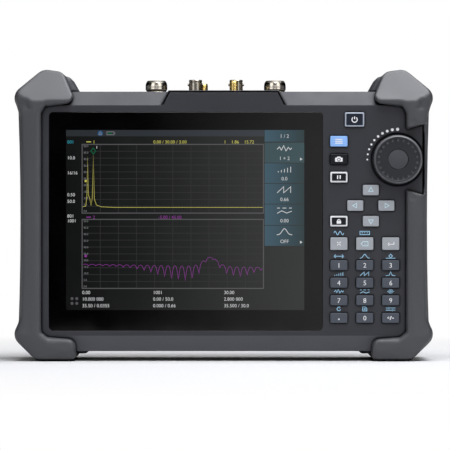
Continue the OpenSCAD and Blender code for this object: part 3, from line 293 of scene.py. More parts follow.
def openness(tree, reach):
    """How open the space in front of a face is, out to a reach in millimetres."""
    return wire(tree, "ShaderNodeAmbientOcclusion", {"Distance": reach * MM}, samples=8).outputs["AO"]


def finish(name, tone, rough, specular=0.2, metallic=0.0, mottle=0.1, patch=22.0, grain=0.45, relief=0.02,
           edge=0.5, wear_and_highlight=0.3, rubbed=1.8, crevice=2.0, hollow=0.0, crevice_shade=0.3):
    """A clouded colour with a fine grain, crevices painted dark as shade, and edges paled partly as wear and
    partly as a painted highlight; sizes in millimetres.
    """
    title = name + "_finish"
    kept = bpy.data.materials.get(title)
    if kept:
        return kept
    material, tree, shader = new_material(title)
    place = place_on(tree)
    clouds = noise(tree, place, 1 / (patch * MM), 5.0)
    pores = noise(tree, place, 1 / (grain * MM), 2.0)
    rounded = wire(tree, "ShaderNodeBevel", {"Radius": edge * MM}).outputs["Normal"]
    flat = wire(tree, "ShaderNodeNewGeometry").outputs["Normal"]
    lean = wire(tree, "ShaderNodeVectorMath", {0: rounded, 1: flat}, operation="DOT_PRODUCT").outputs["Value"]
    # Edges, where the rounded normal leans away from the flat one, are paled in patches, partly as wear and
    # partly as a painted highlight
    rim = span(tree, lean, 0.98, 0.86, 0.0, wear_and_highlight)
    patchy = span(tree, pores, 0.35, 0.6)
    ground = mix(tree, clouds, dim(tone, 1 - mottle), dim(tone, 1 + mottle))
    shown = mix(tree, times(tree, rim, patchy), ground, dim(tone, rubbed))
    # Crevices and hollows are painted darker as shade, and lose their sheen with it
    unshaded = span(tree, openness(tree, crevice), 0.55, 0.95)
    if hollow:
        unshaded = times(tree, unshaded, span(tree, openness(tree, hollow), 0.35, 0.85, 0.3, 1.0))
    shown = mix(tree, unshaded, dim(tone, crevice_shade), shown)
    sheen = span(tree, unshaded, 0.0, 1.0, specular * crevice_shade, specular)
    gloss = span(tree, clouds, 0.3, 0.7, rough - 0.05, rough + 0.05)
    bump = wire(tree, "ShaderNodeBump", {"Height": pores, "Distance": relief * MM,
                                         "Strength": 0.6, "Normal": rounded})
    feed(tree, shader, {"Base Color": shown, "Roughness": gloss, "Specular IOR Level": sheen,
                        "Normal": bump.outputs["Normal"], "Metallic": metallic})
    return material


def lit(name, tone, other=None, ends=(0.0, 1.0)):
    """A screen colour that shines by itself, with fine display dots under a glossy face."""
    title = name + "_lit"
    kept = bpy.data.materials.get(title)
    if kept:
        return kept
    material, tree, shader = new_material(title)
    place = place_on(tree)
    dots = wire(tree, "ShaderNodeTexWave", {"Vector": place, "Scale": DISPLAY_DOTS}, bands_direction="X")
    smear = noise(tree, place, SMEARS, 3.0)
    shown = mix(tree, dots.outputs["Fac"], dim(tone, 0.92), dim(tone, 1.08))
    if other:
        side = wire(tree, "ShaderNodeSeparateXYZ", {0: place}).outputs["X"]
        shown = mix(tree, span(tree, side, *ends), shown, other)
    gloss = span(tree, smear, 0.3, 0.7, 0.06, 0.12)
    feed(tree, shader, {"Emission Color": shown, "Emission Strength": 1.0, "Roughness": gloss,
                        "Base Color": BLACK, "Specular IOR Level": 0.5})
    return material


def glass_finish():
    """Glossy black glass with faint smears."""
    material, tree, shader = new_material("display_glass_finish")
    place = place_on(tree)
    smear = noise(tree, place, SMEARS, 3.0)
    tone = colours().glass
    shown = mix(tree, smear, dim(tone, 0.7), dim(tone, 1.3))
    gloss = span(tree, smear, 0.3, 0.7, 0.05, 0.1)
    rounded = wire(tree, "ShaderNodeBevel", {"Radius": 0.4 * MM}).outputs["Normal"]
    feed(tree, shader, {"Base Color": shown, "Roughness": gloss, "Normal": rounded,
                        "Specular IOR Level": 0.5})
    return material


def coat(material, *nodes):
    """Gives CAD pieces their finish."""
    for node in nodes:
        mesh = frame["nodes"][node].data
        mesh.materials.clear()
        mesh.materials.append(material)


def weld(node):
    """Joins the doubled corners of a CAD piece, which leave faces without area."""
    joined = frame["nodes"][node].modifiers.new("Weld", "WELD")
    joined.merge_threshold = 0.001 * MM


def bumper_finish():
    """Soft matte rubber, with its crevices painted dark as shade."""
    return finish("bumper_rubber", colours().bumper, 0.5, specular=0.6, patch=30.0, relief=0.03, edge=1.2,
                  wear_and_highlight=0.2, crevice=2.4, crevice_shade=0.12)


def metal(name, tone, rough, **changes):
    """A plated metal, with changes to its usual looks."""
    usual = {"metallic": 1.0, "mottle": 0.06, "patch": 4.0, "grain": 0.2, "relief": 0.004, "edge": 0.25,
             "rubbed": 1.1}
    return finish(name, tone, rough, **{**usual, **changes})


def gold_finish():
    """Gold plate."""
    return metal("gold", colours().gold, 0.22, patch=3.0, edge=0.2)


def cream_finish():
    """White moulded plastic."""
    return finish("white_plastic", colours().cream, 0.45, patch=5.0, edge=0.2, rubbed=1.05)


def key_finish(key, rough, edge, rubbed, mottle=0.1):
    """Finish of a key, named after its colour."""
    return finish(key, getattr(colours(), key), rough, patch=9.0, edge=edge, rubbed=rubbed, mottle=mottle)


def mark_finish(key):
    """Ink of a printed mark, named after its colour."""
    return finish(key + "_mark", getattr(colours(), key), 0.5, mottle=0.04, patch=3.0, grain=0.2,
                  relief=0.004, edge=0.1, wear_and_highlight=0.1, rubbed=0.8)


def middle(node):
    """Middle of a CAD piece, across and up."""
    low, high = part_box(node)
    return (low.x + high.x) / 2, (low.z + high.z) / 2


def as_mesh(name, shape):
    """Turns an edited shape into a mesh."""
    mesh = bpy.data.meshes.new(name)
    shape.to_mesh(mesh)
    shape.free()
    return mesh


def add_object(name, data):
    """Adds an object to the scene."""
    made = bpy.data.objects.new(name, data)
    bpy.context.scene.collection.objects.link(made)
    return made


def new_piece(name, mesh, body, materials):
    """Adds a mesh to the scene as a piece that moves with a body."""
    for material in materials:
        mesh.materials.append(material)
    piece = add_object(name, mesh)
    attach(piece, body)
    return piece


class Artwork:
    """Flat marks on a face that looks to the front, gathered into one thin piece."""

    def __init__(self, name, front, origin=(0.0, 0.0), pitch=(MM, MM)):
        self.name = name
        self.front = front
        self.origin = origin
        self.pitch = pitch
        self.finishes = []
        self.shape = bmesh.new()

    def face(self, points, material, layer=0):
        """One filled outline."""
        depth = self.front - sizes().ink - layer * sizes().ink_step
        corners = [(self.origin[0] + x * self.pitch[0], depth, self.origin[1] + y * self.pitch[1])
                   for x, y in points]
        turn = sum(a[0] * b[2] - b[0] * a[2] for a, b in zip(corners, corners[1:] + corners[:1]))
        if turn < 0:
            corners.reverse()
        if material not in self.finishes:
            self.finishes.append(material)
        made = self.shape.faces.new([self.shape.verts.new(c) for c in corners])
        made.material_index = self.finishes.index(material)

    def bar(self, x0, y0, x1, y1, material, layer=0):
        """An upright rectangle between two corners."""
        self.face([(x0, y0), (x1, y0), (x1, y1), (x0, y1)], material, layer)

    def line(self, points, width, material, layer=0, closed=False):
        """A line of even width with mitred corners."""
        count = len(points)
        sides = []
        for i, (x, y) in enumerate(points):
            before = points[i - 1] if i or closed else None
            after = points[(i + 1) % count] if i + 1 < count or closed else None
            ways = [heading(a, b) for a, b in ((before, (x, y)), ((x, y), after)) if a and b]
            across = [-sum(w[1] for w in ways), sum(w[0] for w in ways)]
            size = math.hypot(*across) or 1.0
            across = [c / size for c in across]
            reach = width / 2 / max(0.5, across[1] * ways[0][0] - across[0] * ways[0][1])
            shift = (across[0] * reach, across[1] * reach)
            sides.append(((x + shift[0], y + shift[1]), (x - shift[0], y - shift[1])))
        for i in range(count if closed else count - 1):
            one, two = sides[i], sides[(i + 1) % count]
            self.face([one[0], one[1], two[1], two[0]], material, layer)

    def disc(self, x, y, radius, material, layer=0, count=24):
        """A filled circle."""
        self.face(circle(x, y, radius, count), material, layer)

    def words(self, text, x, y, height, material, layer=0, align="LEFT"):
        """Digits and signs in the built-in typeface, with y at their foot."""
        curve = bpy.data.curves.new(self.name + "_text", "FONT")
        curve.body = text
        curve.size = height / CAP_SHARE
        curve.align_x = align
        curve.resolution_u = 3
        holder = bpy.data.objects.new(curve.name, curve)
        flat = bpy.data.meshes.new_from_object(holder)
        up = math.copysign(1.0, self.pitch[1])
        for polygon in flat.polygons:
            corners = [flat.vertices[i].co for i in polygon.vertices]
            self.face([(x + c.x, y + up * c.y) for c in corners], material, layer)
        bpy.data.objects.remove(holder)
        bpy.data.curves.remove(curve)
        bpy.data.meshes.remove(flat)

    def strokes(self, lines, x, y, scale, width, material, layer=0):
        """A sign made of lines; a line that ends where it starts is closed."""
        for points in lines:
            closed = points[0] == points[-1] and len(points) > 2
            moved = [(x + px * scale, y + py * scale) for px, py in (points[:-1] if closed else points)]
            self.line(moved, width, material, layer, closed)

    def piece(self, body, slot):
        """Turns the marks into a closed thin piece."""
        bmesh.ops.remove_doubles(self.shape, verts=self.shape.verts, dist=1e-7)
        made = new_piece(self.name, as_mesh(self.name, self.shape), body, self.finishes)
        skin = made.modifiers.new("Thickness", "SOLIDIFY")
        skin.thickness = sizes().ink
        skin.offset = -1.0
        return made


def heading(start, end):
    """Unit step from one point to another."""
    dx, dy = end[0] - start[0], end[1] - start[1]
    size = math.hypot(dx, dy) or 1.0
    return dx / size, dy / size


def circle(x, y, radius, count=24, start=0.0, sweep=360.0):
    """Points along a circle, or along a part of one."""
    steps = count if sweep == 360.0 else count - 1
    turns = [math.radians(start + sweep * i / steps) for i in range(count)]
    return [(x + radius * math.cos(a), y + radius * math.sin(a)) for a in turns]


def rounded_box(x, y, width, height, radius, count=5):
    """Outline of a rectangle with round corners."""
    points = []
    for turn, (sx, sy) in enumerate(((1, 1), (-1, 1), (-1, -1), (1, -1))):
        cx, cy = x + sx * (width / 2 - radius), y + sy * (height / 2 - radius)
        points += circle(cx, cy, radius, count, turn * 90.0, 90.0)
    return points


def signs():
    """Signs above the keys, as lines in a box two wide and about one high."""
    loop = circle(0, 0, 0.38, 20)
    page = [(-0.42, -0.4), (0.42, -0.4), (0.42, 0.12), (0.14, 0.4), (-0.42, 0.4), (-0.42, -0.4)]
    return {
        "wave": [[(i / 8 - 1, 0.36 * math.sin(i * math.pi / 4)) for i in range(17)]],
        "ruler": [[(-0.95, -0.3), (0.95, -0.3), (0.95, 0.34), (-0.95, 0.34), (-0.95, -0.3)],
                  *[[(x / 10, 0.34), (x / 10, -0.05)] for x in (-5, 0, 5)]],
        "reach": [[(-0.95, 0), (0.95, 0)], [(-0.62, 0.34), (-0.95, 0), (-0.62, -0.34)],
                  [(0.62, 0.34), (0.95, 0), (0.62, -0.34)]],
        "bell": [[(i / 8 - 1, 0.8 * math.exp(-(i / 3.4 - 2.35) ** 2) - 0.4) for i in range(17)]],
        "marker": [[(0, 0.42), (0.36, 0.05), (0, -0.32), (-0.36, 0.05), (0, 0.42)],
                   [(-0.95, -0.4), (0.95, -0.4)]],
        "level": [[(x / 10, -0.4), (x / 10, 0.05 + 0.035 * x)] for x in (-8, -4, 0, 4, 8)],
        "sweep": [[(-0.95, -0.4), (-0.1, 0.38), (-0.1, -0.4), (0.8, 0.38), (0.8, -0.4)]],
        "peak": [[(-0.95, -0.38), (-0.3, -0.3), (0, 0.42), (0.3, -0.3), (0.95, -0.38)]],
        "trace": [[(-0.95, -0.1), (-0.65, 0.22), (-0.4, -0.2), (-0.1, 0.38), (0.2, -0.3), (0.5, 0.16),
                   (0.75, -0.12), (0.95, 0.1)]],
        "limit": [[(-0.95, 0.3), (-0.6, 0.3)], [(-0.25, 0.3), (0.25, 0.3)], [(0.6, 0.3), (0.95, 0.3)],
                  [(-0.95, -0.38), (-0.35, -0.05), (0.3, -0.34), (0.95, -0.1)]],
        "target": [[*loop, loop[0]], [(-0.7, 0), (0.7, 0)], [(0, 0.46), (0, -0.46)]],
        "renew": [circle(0, 0, 0.36, 16, 60.0, 290.0), [(0.02, 0.5), (0.24, 0.3), (0.0, 0.12)]],
        "page": [page, [(-0.2, 0.05), (0.2, 0.05)], [(-0.2, -0.16), (0.2, -0.16)]],
        "sliders": [[(-0.95, 0.2), (0.95, 0.2)], [(-0.35, 0.42), (-0.35, -0.02)],
                    [(-0.95, -0.24), (0.95, -0.24)], [(0.4, -0.02), (0.4, -0.46)]],
    }


def run(material, *points):
    """Points of a turned profile that share a finish, each a radius and a height."""
    return [(radius, height, material) for radius, height in points]


def turned(node, profile, foot, count=48):
    """A lathe-turned piece in a CAD piece's place; its profile runs from the outside foot to the middle."""
    shape = bmesh.new()
    finishes = []
    rings = []
    for radius, height, _ in profile:
        rings.append([shape.verts.new((x, y, foot[2] + height * MM))
                      for x, y in circle(foot[0], foot[1], radius * MM, count)])
    for low, high, (_, _, material) in zip(rings, rings[1:], profile[1:]):
        if material not in finishes:
            finishes.append(material)
        for i in range(count):
            j = (i + 1) % count
            shape.faces.new((low[i], low[j], high[j], high[i])).material_index = finishes.index(material)
    shape.faces.new(reversed(rings[0]))
    shape.faces.new(rings[-1]).material_index = finishes.index(profile[-1][2])
    bmesh.ops.recalc_face_normals(shape, faces=shape.faces)
    mesh = as_mesh(node + "_turned", shape)
    mesh.shade_smooth()
    mesh.set_sharp_from_angle(angle=math.radians(35))
    piece = new_piece(node + "_turned", mesh, "case", finishes)
    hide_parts(node)
    return piece


class AddStage(bpy.types.Operator):
    """Sets the camera, the soft lamps, the white surround, the dark cards and the floor"""
    bl_idname = "analyzer.stage"
    bl_label = "Stage"

    def execute(self, context):
        self.add_camera(context)
        self.add_world(context)
        for name, settings in LAMPS.items():
            self.add_lamp(name, *settings)
        self.add_floor()
        self.add_cards()
        context.scene.view_settings.view_transform = "Standard"
        return {"FINISHED"}

    def add_camera(self, context):
        size = sizes()
        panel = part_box("front_shell")[0].y
        data = bpy.data.cameras.new("camera")
        data.sensor_width = 36.0
        data.lens = data.sensor_width * size.camera_gap / size.view_w
        data.clip_end = 50.0
        camera = add_object("camera", data)
        camera.location = (size.view_x, panel - size.camera_gap, size.view_z)
        camera.rotation_euler = (math.radians(90), 0.0, 0.0)
        context.scene.camera = camera

    def add_world(self, context):
        world = bpy.data.worlds.new("white_room")
        world.use_nodes = True
        tree = world.node_tree
        light = span(tree, seen_rays(tree), 0.0, 1.0, ROOM_LIGHT, 1.0)
        feed(tree, tree.nodes["Background"], {"Color": WHITE, "Strength": light})
        context.scene.world = world

    def add_lamp(self, name, place, aim, spread, power):
        data = bpy.data.lights.new(name, "AREA")
        data.shape = "RECTANGLE"
        data.size, data.size_y = spread
        data.energy = power
        data.color = LAMP_TINT
        lamp = add_object(name, data)
        lamp.location = place
        way = [a - b for a, b in zip(aim, place)]
        flat = math.hypot(way[0], way[1])
        lamp.rotation_euler = (math.atan2(flat, -way[2]), 0.0, math.atan2(-way[0], way[1]) if flat else 0.0)

    def add_floor(self):
        """Pale floor that keeps the shadow near the object and fades into the white surround."""
        shape = bmesh.new()
        bmesh.ops.create_grid(shape, x_segments=1, y_segments=1, size=FLOOR_HALF)
        mesh = as_mesh("floor", shape)
        # Like the other finishes, the floor is painted darker as shade where the object stands close above it
        material = finish("floor", shade("#dadada"), 0.85, specular=0.1, mottle=0.01, patch=300.0)
        tree = material.node_tree
        place = place_on(tree)
        far = wire(tree, "ShaderNodeVectorMath", {0: place}, operation="LENGTH").outputs["Value"]
        share = times(tree, span(tree, far, *FADE), seen_rays(tree))
        white = wire(tree, "ShaderNodeEmission", {"Color": WHITE}).outputs["Emission"]
        matte = tree.nodes["Principled BSDF"].outputs["BSDF"]
        blend = wire(tree, "ShaderNodeMixShader", {0: share, 1: matte, 2: white}).outputs["Shader"]
        tree.links.new(blend, tree.nodes["Material Output"].inputs["Surface"])
        mesh.materials.append(material)
        add_object("floor", mesh)

    def add_cards(self):
        """Dark ring around the object and the camera, and a dark sheet on the floor between them."""
        gap = sizes().card_gap
        ring = bmesh.new()
        bmesh.ops.create_cone(ring, cap_ends=False, segments=96, radius1=gap, radius2=gap, depth=gap)
        self.add_card("dark_ring", ring, (0.0, 0.0, gap / 2))
        sheet = bmesh.new()
        bmesh.ops.create_grid(sheet, x_segments=1, y_segments=1, size=gap / 2)
        self.add_card("dark_sheet", sheet, (0.0, -gap / 2 - SHEET_START, SHEET_LIFT))

    def add_card(self, name, shape, place):
        """Adds a dark card that only glossy faces see."""
        mesh = as_mesh(name, shape)
        mesh.materials.append(self.card_finish())
        card = add_object(name, mesh)
        card.location = place
        card.visible_camera = False
        card.visible_diffuse = False
        card.visible_shadow = False
        card.visible_transmission = False

    def card_finish(self):
        """Black, with a low glow to the right of the camera and a strip of light on either side of it."""
        kept = bpy.data.materials.get("dark_card")
        if kept:
            return kept
        material, tree, shader = new_material("dark_card")
        place = wire(tree, "ShaderNodeNewGeometry").outputs["Position"]
        axes = wire(tree, "ShaderNodeSeparateXYZ", {0: place}).outputs
        x, z = axes["X"], axes["Z"]
        rise = {"Value": x, "From Min": -GLOW_RISE, "From Max": GLOW_RISE, "To Max": GLOW}
        ramp = wire(tree, "ShaderNodeMapRange", rise, interpolation_type="SMOOTHSTEP").outputs["Result"]
        glow = times(tree, ramp, span(tree, x, *GLOW_RIGHT), span(tree, z, *GLOW_TOP))
        off = calc(tree, "ABSOLUTE", calc(tree, "SUBTRACT", calc(tree, "ABSOLUTE", x), STRIP_MIDDLE))
        bright = span(tree, off, STRIP_HALF, STRIP_HALF - STRIP_EDGE, 0.0, STRIP_GLOW)
        strip = times(tree, bright, span(tree, z, *STRIP_FOOT), span(tree, z, *STRIP_TOP))
        light = times(tree, calc(tree, "ADD", glow, strip), span(tree, axes["Y"], *SHINE_FRONT))
        feed(tree, shader, {"Emission Color": WHITE, "Emission Strength": light, "Base Color": BLACK,
                            "Specular IOR Level": 0.0})
        return material


class DressBumpers(bpy.types.Operator):
    """Makes the moulded end bumpers with soft, rounded edges"""
    bl_idname = "analyzer.bumpers"
    bl_label = "Bumpers"

    def execute(self, context):
        for node in ("left_bumper", "right_bumper"):
            name = node + "_soft"
            shape = bmesh.new()
            shape.from_mesh(frame["nodes"][node].data)
            bmesh.ops.remove_doubles(shape, verts=shape.verts, dist=0.01 * MM)
            self.lean_lobe(shape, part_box(node)[0].y)
            piece = new_piece(name, as_mesh(name, shape), "case", [bumper_finish()])
            grid = piece.modifiers.new("Grid", "REMESH")
            grid.mode = "VOXEL"
            grid.voxel_size = sizes().bumper_voxel
            grid.use_smooth_shade = True
            soften = piece.modifiers.new("Soften", "SMOOTH")
            soften.factor = 0.5
            soften.iterations = 4
            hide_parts(node)
        return {"FINISHED"}

    def lean_lobe(self, shape, front):
        """Cuts the face of the top lobe, which leans back from its crease."""
        lean = math.radians(LOBE_LEAN)
        facing = (0.0, -math.cos(lean), math.sin(lean))
        everything = [*shape.verts, *shape.edges, *shape.faces]
        cut = bmesh.ops.bisect_plane(shape, geom=everything, plane_co=(0.0, front, sizes().lobe_crease),
                                     plane_no=facing, clear_outer=True)
        edges = [part for part in cut["geom_cut"] if isinstance(part, bmesh.types.BMEdge)]
        bmesh.ops.triangle_fill(shape, use_beauty=True, edges=edges, normal=facing)
        bmesh.ops.recalc_face_normals(shape, faces=shape.faces)


class DressCase(bpy.types.Operator):
    """Gives the case, the stand, the door and the pieces inside their finishes"""
    bl_idname = "analyzer.case"
    bl_label = "Case and inside"

    def execute(self, context):
        tone = colours()
        # The panel is painted darker as shade in its crevices and in hollows, such as beside the dial
        panel = finish("panel_plastic", tone.panel, 0.5, specular=0.38, grain=0.6, relief=0.06, edge=0.8,
                       rubbed=2.2, crevice=2.0, hollow=20.0, crevice_shade=0.1)
        case = finish("case_plastic", tone.case, 0.55, specular=0.35, edge=0.8)
        alloy = finish("cast_frame", tone.alloy, 0.45, metallic=1.0, patch=12.0, relief=0.03, rubbed=1.2)
        board = finish("circuit_board", tone.board, 0.35, patch=8.0, mottle=0.2, edge=0.2)
        seal = finish("seal_rubber", tone.rubber, 0.7, patch=12.0, edge=0.3)
        black = finish("black_plastic", tone.black, 0.5, patch=10.0, edge=0.3)
        steel = metal("plated_metal", tone.steel, 0.3, mottle=0.1, patch=6.0, grain=0.25, relief=0.006,
                      edge=0.3, rubbed=1.2)
        coat(panel, "front_shell")
        coat(case, "rear_shell", "battery_door", "kickstand")
        coat(bumper_finish(), "port_cover")
        coat(seal, "display_gasket", "key_mat")
        coat(alloy, "mid_frame", "rf_module")
        coat(board, "key_board", "main_board")
        coat(steel, "encoder", "encoder_nut", "encoder_shaft", "lan_jack", "usb_jack", "port_cover_pin",
             "battery_door_screws", "kickstand_pins", "case_screws")
        coat(black, "dc_jack", "battery_pack")
        coat(cream_finish(), "encoder_plunger")
        coat(lit("screen_module", tone.screen), "lcd_module")
        self.paint_low_slope_light()
        return {"FINISHED"}

    def paint_low_slope_light(self):
        """Paler colour on the panel's low slope, painted light that stands in for light from below."""
        mesh = frame["nodes"]["front_shell"].data
        mesh.materials.append(finish("panel_scuffed", colours().scuffed, 0.55, specular=0.45, grain=0.6,
                                     relief=0.06, edge=0.8, crevice=2.0))
        for face in mesh.polygons:
            # The slope looks forward and down
            if face.normal.y < -0.3 and face.normal.z < -0.2 and face.center.z < sizes().lit_slope_h:
                face.material_index = 1


class DressDial(bpy.types.Operator):
    """Finishes the dial and prints the row of growing dots around it"""
    bl_idname = "analyzer.dial"
    bl_label = "Dial"

    def execute(self, context):
        size = sizes()
        self.coat_knob()
        cap = finish("cap_plastic", colours().cap, 0.42, edge=0.4, patch=6.0, rubbed=1.5)
        coat(cap, "knob_cap")
        weld("knob")
        weld("knob_cap")
        dots = Artwork("dial_dots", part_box("front_shell")[0].y, middle("knob"))
        for i, (x, z) in enumerate(circle(0, 0, size.dot_ring / MM, DOTS, 90.0, 90.0)):
            width = size.dot_big + (size.dot_small - size.dot_big) * i / (DOTS - 1)
            dots.disc(x, z, width / 2 / MM, mark_finish("white"))
        dots.piece("case", "white_plastic")
        return {"FINISHED"}

    def coat_knob(self):
        """Satin face, with the edge and the dimples painted paler as highlights."""
        tone = colours()
        rim = sizes().knob_rim
        # The knob's edges are painted much paler, as highlights
        satin = finish("knob_plastic", tone.knob, 0.42, edge=0.6, wear_and_highlight=1.0, rubbed=5.0, crevice=1.0,
                       crevice_shade=0.2)
        coat(satin, "knob")
        mesh = frame["nodes"]["knob"].data
        mesh.materials.append(finish("knob_rim", tone.knob_rim, 0.36, specular=0.5, edge=0.6, crevice=0.8))
        mesh.materials.append(finish("knob_dimple", tone.knob_dimple, 0.5, edge=0.3, crevice=0.8))
        low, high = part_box("knob")
        radius = (high.x - low.x) / 2
        x, z = middle("knob")
        for face in mesh.polygons:
            out = math.hypot(face.center.x - x, face.center.z - z)
            # Sloping faces at the edge, and those between the edge and the cap, are painted paler as
            # highlights
            if out > radius - rim and -0.95 < face.normal.y < -0.2:
                face.material_index = 1
            elif radius / 2 < out < radius - 2 * rim and -0.99 < face.normal.y < -0.2:
                face.material_index = 2


class DressJacks(bpy.types.Operator):
    """Makes the plated jacks on the top edge, with threads, insulators and contacts"""
    bl_idname = "analyzer.jacks"
    bl_label = "Jacks"

    def execute(self, context):
        for side in ("left", "right"):
            self.add_large("n_jack_" + side)
            self.add_bayonet("bnc_jack_" + side)
            self.add_small("sma_jack_" + side)
        return {"FINISHED"}

    def foot(self, node):
        """Middle of a jack where it leaves the top of the case, and its height in millimetres."""
        low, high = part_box(node)
        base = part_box("rear_shell")[1].z
        return ((low.x + high.x) / 2, (low.y + high.y) / 2, base), (high.z - base) / MM

    def thread(self, radius, depth, start, end, pitch, material):
        """Outer profile of a threaded barrel."""
        points = []
        for i in range(int((end - start) / pitch)):
            foot = start + i * pitch
            points += run(material, (radius - depth, foot), (radius, foot + pitch * 0.2),
                          (radius, foot + pitch * 0.8), (radius - depth, foot + pitch * 0.98))
        return points

    def add_large(self, node):
        """Large threaded jack with rounded ends, a stepped socket and a hollow contact."""
        foot, height = self.foot(node)
        tone = colours().nickel
        nickel = metal("nickel", tone, 0.2)
        # The top rim, the socket mouth and the groove above the flange are painted dark nickel, as painted
        # shade
        painted_dark = metal("dull_nickel", dim(tone, 0.18), 0.45, mottle=0.1, rubbed=1.3)
        profile = run(nickel, (8.74, 0.0), (8.74, 0.6), (8.44, 0.9))
        profile += run(painted_dark, (6.6, 0.9), (7.1, 1.2))
        profile += run(nickel, (7.5, 1.7), (7.75, 2.3))
        profile += self.thread(7.94, 0.05, 2.4, height - 2.6, 1.06, nickel)
        profile += run(nickel, (7.72, height - 2.2), (7.4, height - 1.4))
        profile += run(painted_dark, (6.95, height - 0.6), (6.4, height), (4.8, height))
        profile += run(nickel, (4.3, height - 0.5), (4.3, 3.3))
        profile += run(cream_finish(), (4.25, 3.3), (1.7, 3.3))
        profile += run(gold_finish(), (1.5, 3.3), (1.5, height - 3.0), (1.2, height - 2.75),
                       (0.8, height - 2.75), (0.8, height - 5.0))
        turned(node, profile, foot)

    def add_bayonet(self, node):
        """Bayonet jack with two lugs."""
        foot, height = self.foot(node)
        nickel = metal("bayonet_nickel", dim(colours().nickel, 0.5), 0.2)
        profile = run(nickel, (5.73, 0.0), (5.73, 0.55), (5.43, 0.8), (4.4, 0.8), (4.4, 1.6), (4.83, 1.9),
                      (4.83, height - 2.2), (4.55, height - 2.0), (4.55, height - 1.6), (4.83, height - 1.4),
                      (4.83, height - 0.5), (4.3, height), (3.7, height), (3.4, height - 0.3), (3.4, 3.3))
        profile += run(cream_finish(), (3.35, 3.3), (1.0, 3.3), (1.0, height - 4.0))
        profile += run(gold_finish(), (0.7, height - 4.0), (0.7, height - 2.9), (0.4, height - 2.75))
        piece = turned(node, profile, foot, 40)
        x, y, base = foot
        self.add_lugs(piece, x, y, base + (height - 3.6) * MM, 4.4, 5.75, 0.95)

    def add_lugs(self, piece, x, y, z, inner, outer, radius):
        """Two round lugs on the sides of the bayonet jack."""
        shape = bmesh.new()
        shape.from_mesh(piece.data)
        for side in (-1, 1):
            rings = [[shape.verts.new((x + side * reach * MM, y + py * MM, z + pz * MM))
                      for py, pz in circle(0, 0, r, 16)]
                     for reach, r in ((inner, radius), (outer - 0.25, radius), (outer, radius - 0.25))]
            for low, high in zip(rings, rings[1:]):
                for i in range(16):
                    j = (i + 1) % 16
                    corners = (low[i], low[j], high[j], high[i])
                    shape.faces.new(corners if side > 0 else corners[::-1])
            shape.faces.new(rings[0][::-1] if side > 0 else rings[0])
            shape.faces.new(rings[-1] if side > 0 else rings[-1][::-1])
        shape.to_mesh(piece.data)
        shape.free()

    def add_small(self, node):
        """Small gold jack with a fine thread."""
        foot, height = self.foot(node)
        gold = gold_finish()
        floor = height - 2.5
        profile = run(gold, (3.67, 0.0), (3.67, 0.55), (3.42, 0.8), (2.8, 0.8))
        profile += self.thread(3.17, 0.12, 1.3, height - 0.7, 0.64, gold)
        profile += run(gold, (2.9, height - 0.5), (2.8, height), (2.4, height), (2.3, height - 0.2),
                       (2.3, floor))
        profile += run(cream_finish(), (2.25, floor), (0.65, floor))
        profile += run(gold, (0.6, floor), (0.6, height - 2.0), (0.35, height - 2.0), (0.35, height - 4.0))
        turned(node, profile, foot, 36)


